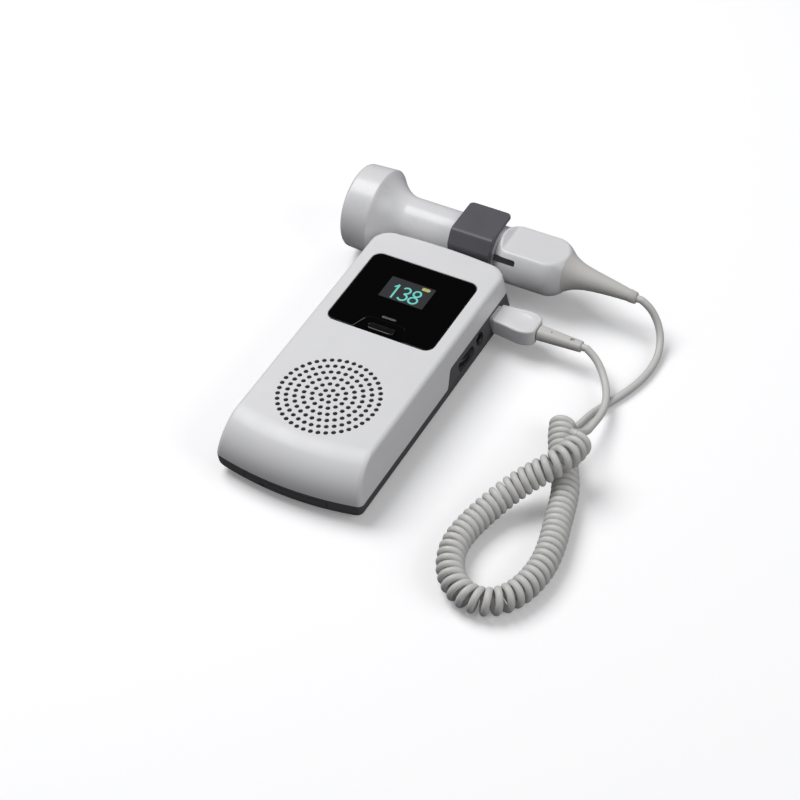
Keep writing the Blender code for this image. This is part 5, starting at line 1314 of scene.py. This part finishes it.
def eased(points, rounds):
    """The points with each drawn to the middle of its neighbours, again and again, and the ends kept."""
    for _ in range(rounds):
        between = [(a + b + c) / 3 for a, b, c in zip(points, points[1:], points[2:])]
        points = [points[0]] + between + [points[-1]]
    return points


def coil_points():
    """The curls: a helix about its route, opened on the outside of each bend."""
    mean = COIL_OUTER_RADIUS - COIL_WIRE / 2
    spine = eased(smooth_path(COIL_ROUTE, COIL_SPINE_STEP), COIL_EASE_ROUNDS)
    tangents = [(b - a).normalized() for a, b in zip(spine, spine[1:])]
    tangents.append(tangents[-1])
    up = Vector((0, 0, 1))
    normal = (up - tangents[0] * up.dot(tangents[0])).normalized()
    frames = []
    phases = [0.0]
    for i, tangent in enumerate(tangents):
        normal = (normal - tangent * normal.dot(tangent)).normalized()
        frames.append((normal.copy(), tangent.cross(normal)))
        if i:
            step = (spine[i] - spine[i - 1]).length
            low, high = max(0, i - COIL_BEND_SAMPLES), min(len(tangents) - 1, i + COIL_BEND_SAMPLES)
            bend = tangents[low].angle(tangents[high]) / ((high - low) * step)
            phases.append(phases[-1] + step / (COIL_CLOSED_PITCH * (1 + mean * bend)))
    turns = math.floor(phases[-1] - COIL_LAST_TURN) + COIL_LAST_TURN
    scale = turns / phases[-1]
    points = []
    place = 0
    for i in range(round(turns * COIL_POINTS_PER_CURL) + 1):
        phase = i / COIL_POINTS_PER_CURL
        while place < len(phases) - 2 and phases[place + 1] * scale < phase:
            place += 1
        span = (phases[place + 1] - phases[place]) * scale
        share = min(1, max(0, (phase - phases[place] * scale) / span))
        first, second = (one.lerp(other, share) for one, other in zip(frames[place], frames[place + 1]))
        middle = spine[place].lerp(spine[place + 1], share)
        angle = math.tau * phase
        points.append(middle + (first * -math.cos(angle) + second * math.sin(angle)) * mean)
    return points


def bridge(start, way_out, end, way_in, step):
    """A smooth stretch between two points that leaves and arrives in the given directions."""
    reach = (end - start).length * JOINT_SWEEP
    count = max(8, round(reach / step))
    stretch = []
    for i in range(count + 1):
        t = i / count
        stretch.append(start * (2 * t ** 3 - 3 * t ** 2 + 1) + way_out * reach * (t ** 3 - 2 * t ** 2 + t)
                       + end * (3 * t ** 2 - 2 * t ** 3) + way_in * reach * (t ** 3 - t ** 2))
    return stretch


def sheathed(name, points, diameter, sides, form, cad_node):
    """A stretch of the cord along its points, dressed and standing for its solid."""
    data = bpy.data.curves.new(name, "CURVE")
    data.dimensions = "3D"
    spline = data.splines.new("POLY")
    spline.points.add(len(points) - 1)
    for knot, point in zip(spline.points, points):
        knot.co = (*point, 1.0)
    piece = grown(name, link(f"{name}_source", data), form, {
        "Radius": diameter / 2, "Sides": sides, "Material": cord_sheath})
    return dressed(piece, cord_sheath, "unit", "cord_grey", cad_node, sharp=60)


def make_cord(boot_end):
    form = sheath_tree("cord sheath")
    coil = coil_points()
    start, end = coil[0], coil[-1]
    lead = Vector((TAIL_LEAD * CORD_DIAMETER, 0, 0))
    tip = Vector((BOOT_END_X, PROBE_Y, PROBE_Z - BOOT_DROOP))
    run = [tip] + eased(smooth_path([tip + lead] + PROBE_TAIL_ROUTE, TAIL_STEP, tip), TAIL_EASE_ROUNDS)
    to_probe = run[:-1] + bridge(run[-1], (run[-1] - run[-3]).normalized(), start,
                                 (coil[1] - start).normalized(), TAIL_STEP)
    plug_tip = Vector((boot_end, PLUG_Y, PLUG_Z))
    run = eased(smooth_path(PLUG_TAIL_ROUTE + [plug_tip + lead], TAIL_STEP, None, plug_tip), TAIL_EASE_ROUNDS)
    to_plug = bridge(end, (end - coil[-2]).normalized(), run[0], (run[2] - run[0]).normalized(), TAIL_STEP)
    to_plug += run[1:] + [plug_tip]

    probe_tail = sheathed("cord_to_probe", to_probe, CORD_DIAMETER, 16, form, "cord_tail_probe")
    curls = sheathed("cord_curls", coil, COIL_WIRE, 14, form, "cord_coil")
    plug_tail = sheathed("cord_to_plug", to_plug, CORD_DIAMETER, 16, form, "cord_tail_connector")
    for tail, body, near, far in ((probe_tail, "probe", start, tip), (plug_tail, "plug", end, plug_tip)):
        tail.parent = None
        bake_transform(tail)


def dress_solids():
    """The pieces that keep the solids' own shapes."""
    board = {"colour": (0.03, 0.16, 0.07), "roughness": 0.35, "grain": 0.0008, "mottle": 0.12, "patch": 0.003}
    inside = {
        "display_panel": finish("display glass", (0.03, 0.035, 0.04), 0.1, depth=0.000001),
        "display_frame": finish("carrier plastic", (0.6, 0.6, 0.58), 0.5),
        "main_board": finish("solder mask", **board),
        "probe_board": finish("probe solder mask", **board),
        "power_switch": finish("switch can", (0.25, 0.25, 0.26), 0.35, metallic=0.8),
        "grille_gauze": finish("black gauze", (0.012, 0.012, 0.012), 0.9, grain=0.0005, depth=0.00005),
        "speaker_gasket": finish("foam gasket", (0.05, 0.05, 0.05), 0.9, grain=0.0006, depth=0.00005),
        "speaker_frame": finish("pressed basket", (0.45, 0.45, 0.46), 0.35, metallic=1.0),
        "speaker_cone": finish("coated paper", (0.03, 0.03, 0.03), 0.7, grain=0.0005, depth=0.00003),
        "speaker_magnet": finish("magnet plating", (0.5, 0.5, 0.52), 0.3, metallic=1.0),
        "volume_potentiometer": finish("potentiometer case", (0.12, 0.1, 0.08), 0.5),
        "probe_socket": jack_black,
        "battery_1": finish("cell sleeve", (0.10, 0.12, 0.16), 0.35, metallic=0.3, mottle=0.06),
        "battery_2": finish("second cell sleeve", (0.10, 0.12, 0.16), 0.35, metallic=0.3, mottle=0.06),
        "probe_crystals": finish("piezo ceramic", (0.55, 0.5, 0.4), 0.5, mottle=0.08),
        "probe_backing": finish("backing foam", (0.1, 0.1, 0.1), 0.9, grain=0.0006, depth=0.00005),
        "connector_tongue": finish("contact gold", (0.55, 0.45, 0.22), 0.3, metallic=0.9),
    }
    spring = finish("spring wire", (0.6, 0.6, 0.62), 0.25, metallic=1.0)
    plate = finish("contact plate", (0.65, 0.62, 0.55), 0.3, metallic=1.0)
    for number in (1, 2):
        inside[f"contact_spring_{number}"] = spring
        inside[f"contact_plate_{number}"] = plate
        inside[f"board_screw_{number}"] = screw_steel
        inside[f"holder_screw_{number}"] = screw_steel
    for name, material in inside.items():
        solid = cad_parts[name]
        solid.data.materials.clear()
        solid.data.materials.append(material)


white_case = finish("white case plastic", WHITE, 0.40, grain=0.00022, depth=0.000003, mottle=0.012)
charcoal_case = finish("charcoal case plastic", CHARCOAL, 0.52, grain=0.00025, depth=0.000010, mottle=0.06)
window_gloss = finish("black window gloss", (0.0016, 0.0016, 0.0018), 0.08, depth=0.0, spread=0.02,
                      Specular_IOR_Level=0.35)
button_gloss = finish("black button gloss", (0.006, 0.006, 0.0065), 0.16, depth=0.0, spread=0.03)
lens_grey = finish("smoked light bar", (0.10, 0.10, 0.105), 0.25, depth=0.0)
screen_glow = glowing("lit screen", (0.030, 0.031, 0.034), (0.012, 0.012, 0.013))
digit_glow = glowing("cyan digits", (0.17, 0.66, 0.60), (0.02, 0.05, 0.05))
icon_glow = glowing("yellow icon", (0.58, 0.56, 0.22), (0.05, 0.05, 0.02))
wheel_black = finish("black wheel plastic", (0.016, 0.016, 0.018), 0.42)
jack_black = finish("black jack plastic", (0.012, 0.012, 0.013), 0.38)
screw_steel = finish("screw steel", (0.55, 0.55, 0.57), 0.32, metallic=1.0, grain=0.0004)
slate_plastic = finish("slate holder plastic", SLATE, 0.42, grain=0.00025, depth=0.000007, mottle=0.04)
probe_gloss = finish("white probe plastic", (0.76, 0.76, 0.775), 0.30, depth=0.000002, mottle=0.012)
face_pearl = finish("pearl transducer face", (0.74, 0.74, 0.75), 0.28, grain=0.0004, depth=0.000002)
boot_rubber = finish("soft grey boot", WARM_GREY, 0.5, grain=0.00025, depth=0.000006, mottle=0.03)
# Near-black for the strip inside the handle's groove.
groove_strip_dark = finish("dark groove strip", (0.03, 0.03, 0.033), 0.5)
cord_sheath = finish("cord sheath", (0.66, 0.655, 0.64), 0.45, grain=0.0004, depth=0.000012, mottle=0.04,
                     patch=0.006)
# Black of the cloth behind the grille, also used as painted shade inside the grille holes.
cloth_and_hole_shade = finish("speaker cloth and painted hole shade", (0.012, 0.012, 0.012), 0.9, depth=0.00003)

bpy.context.scene.view_settings.view_transform = "Standard"
place_camera()
light_studio()
lay_floor()
make_front()
make_rear()
make_door()
make_window()
make_screen()
make_wheel()
make_jack()
make_case_screws()
make_holder()
make_head()
make_grip()
make_boot()
make_cord(make_plug())
dress_solids()
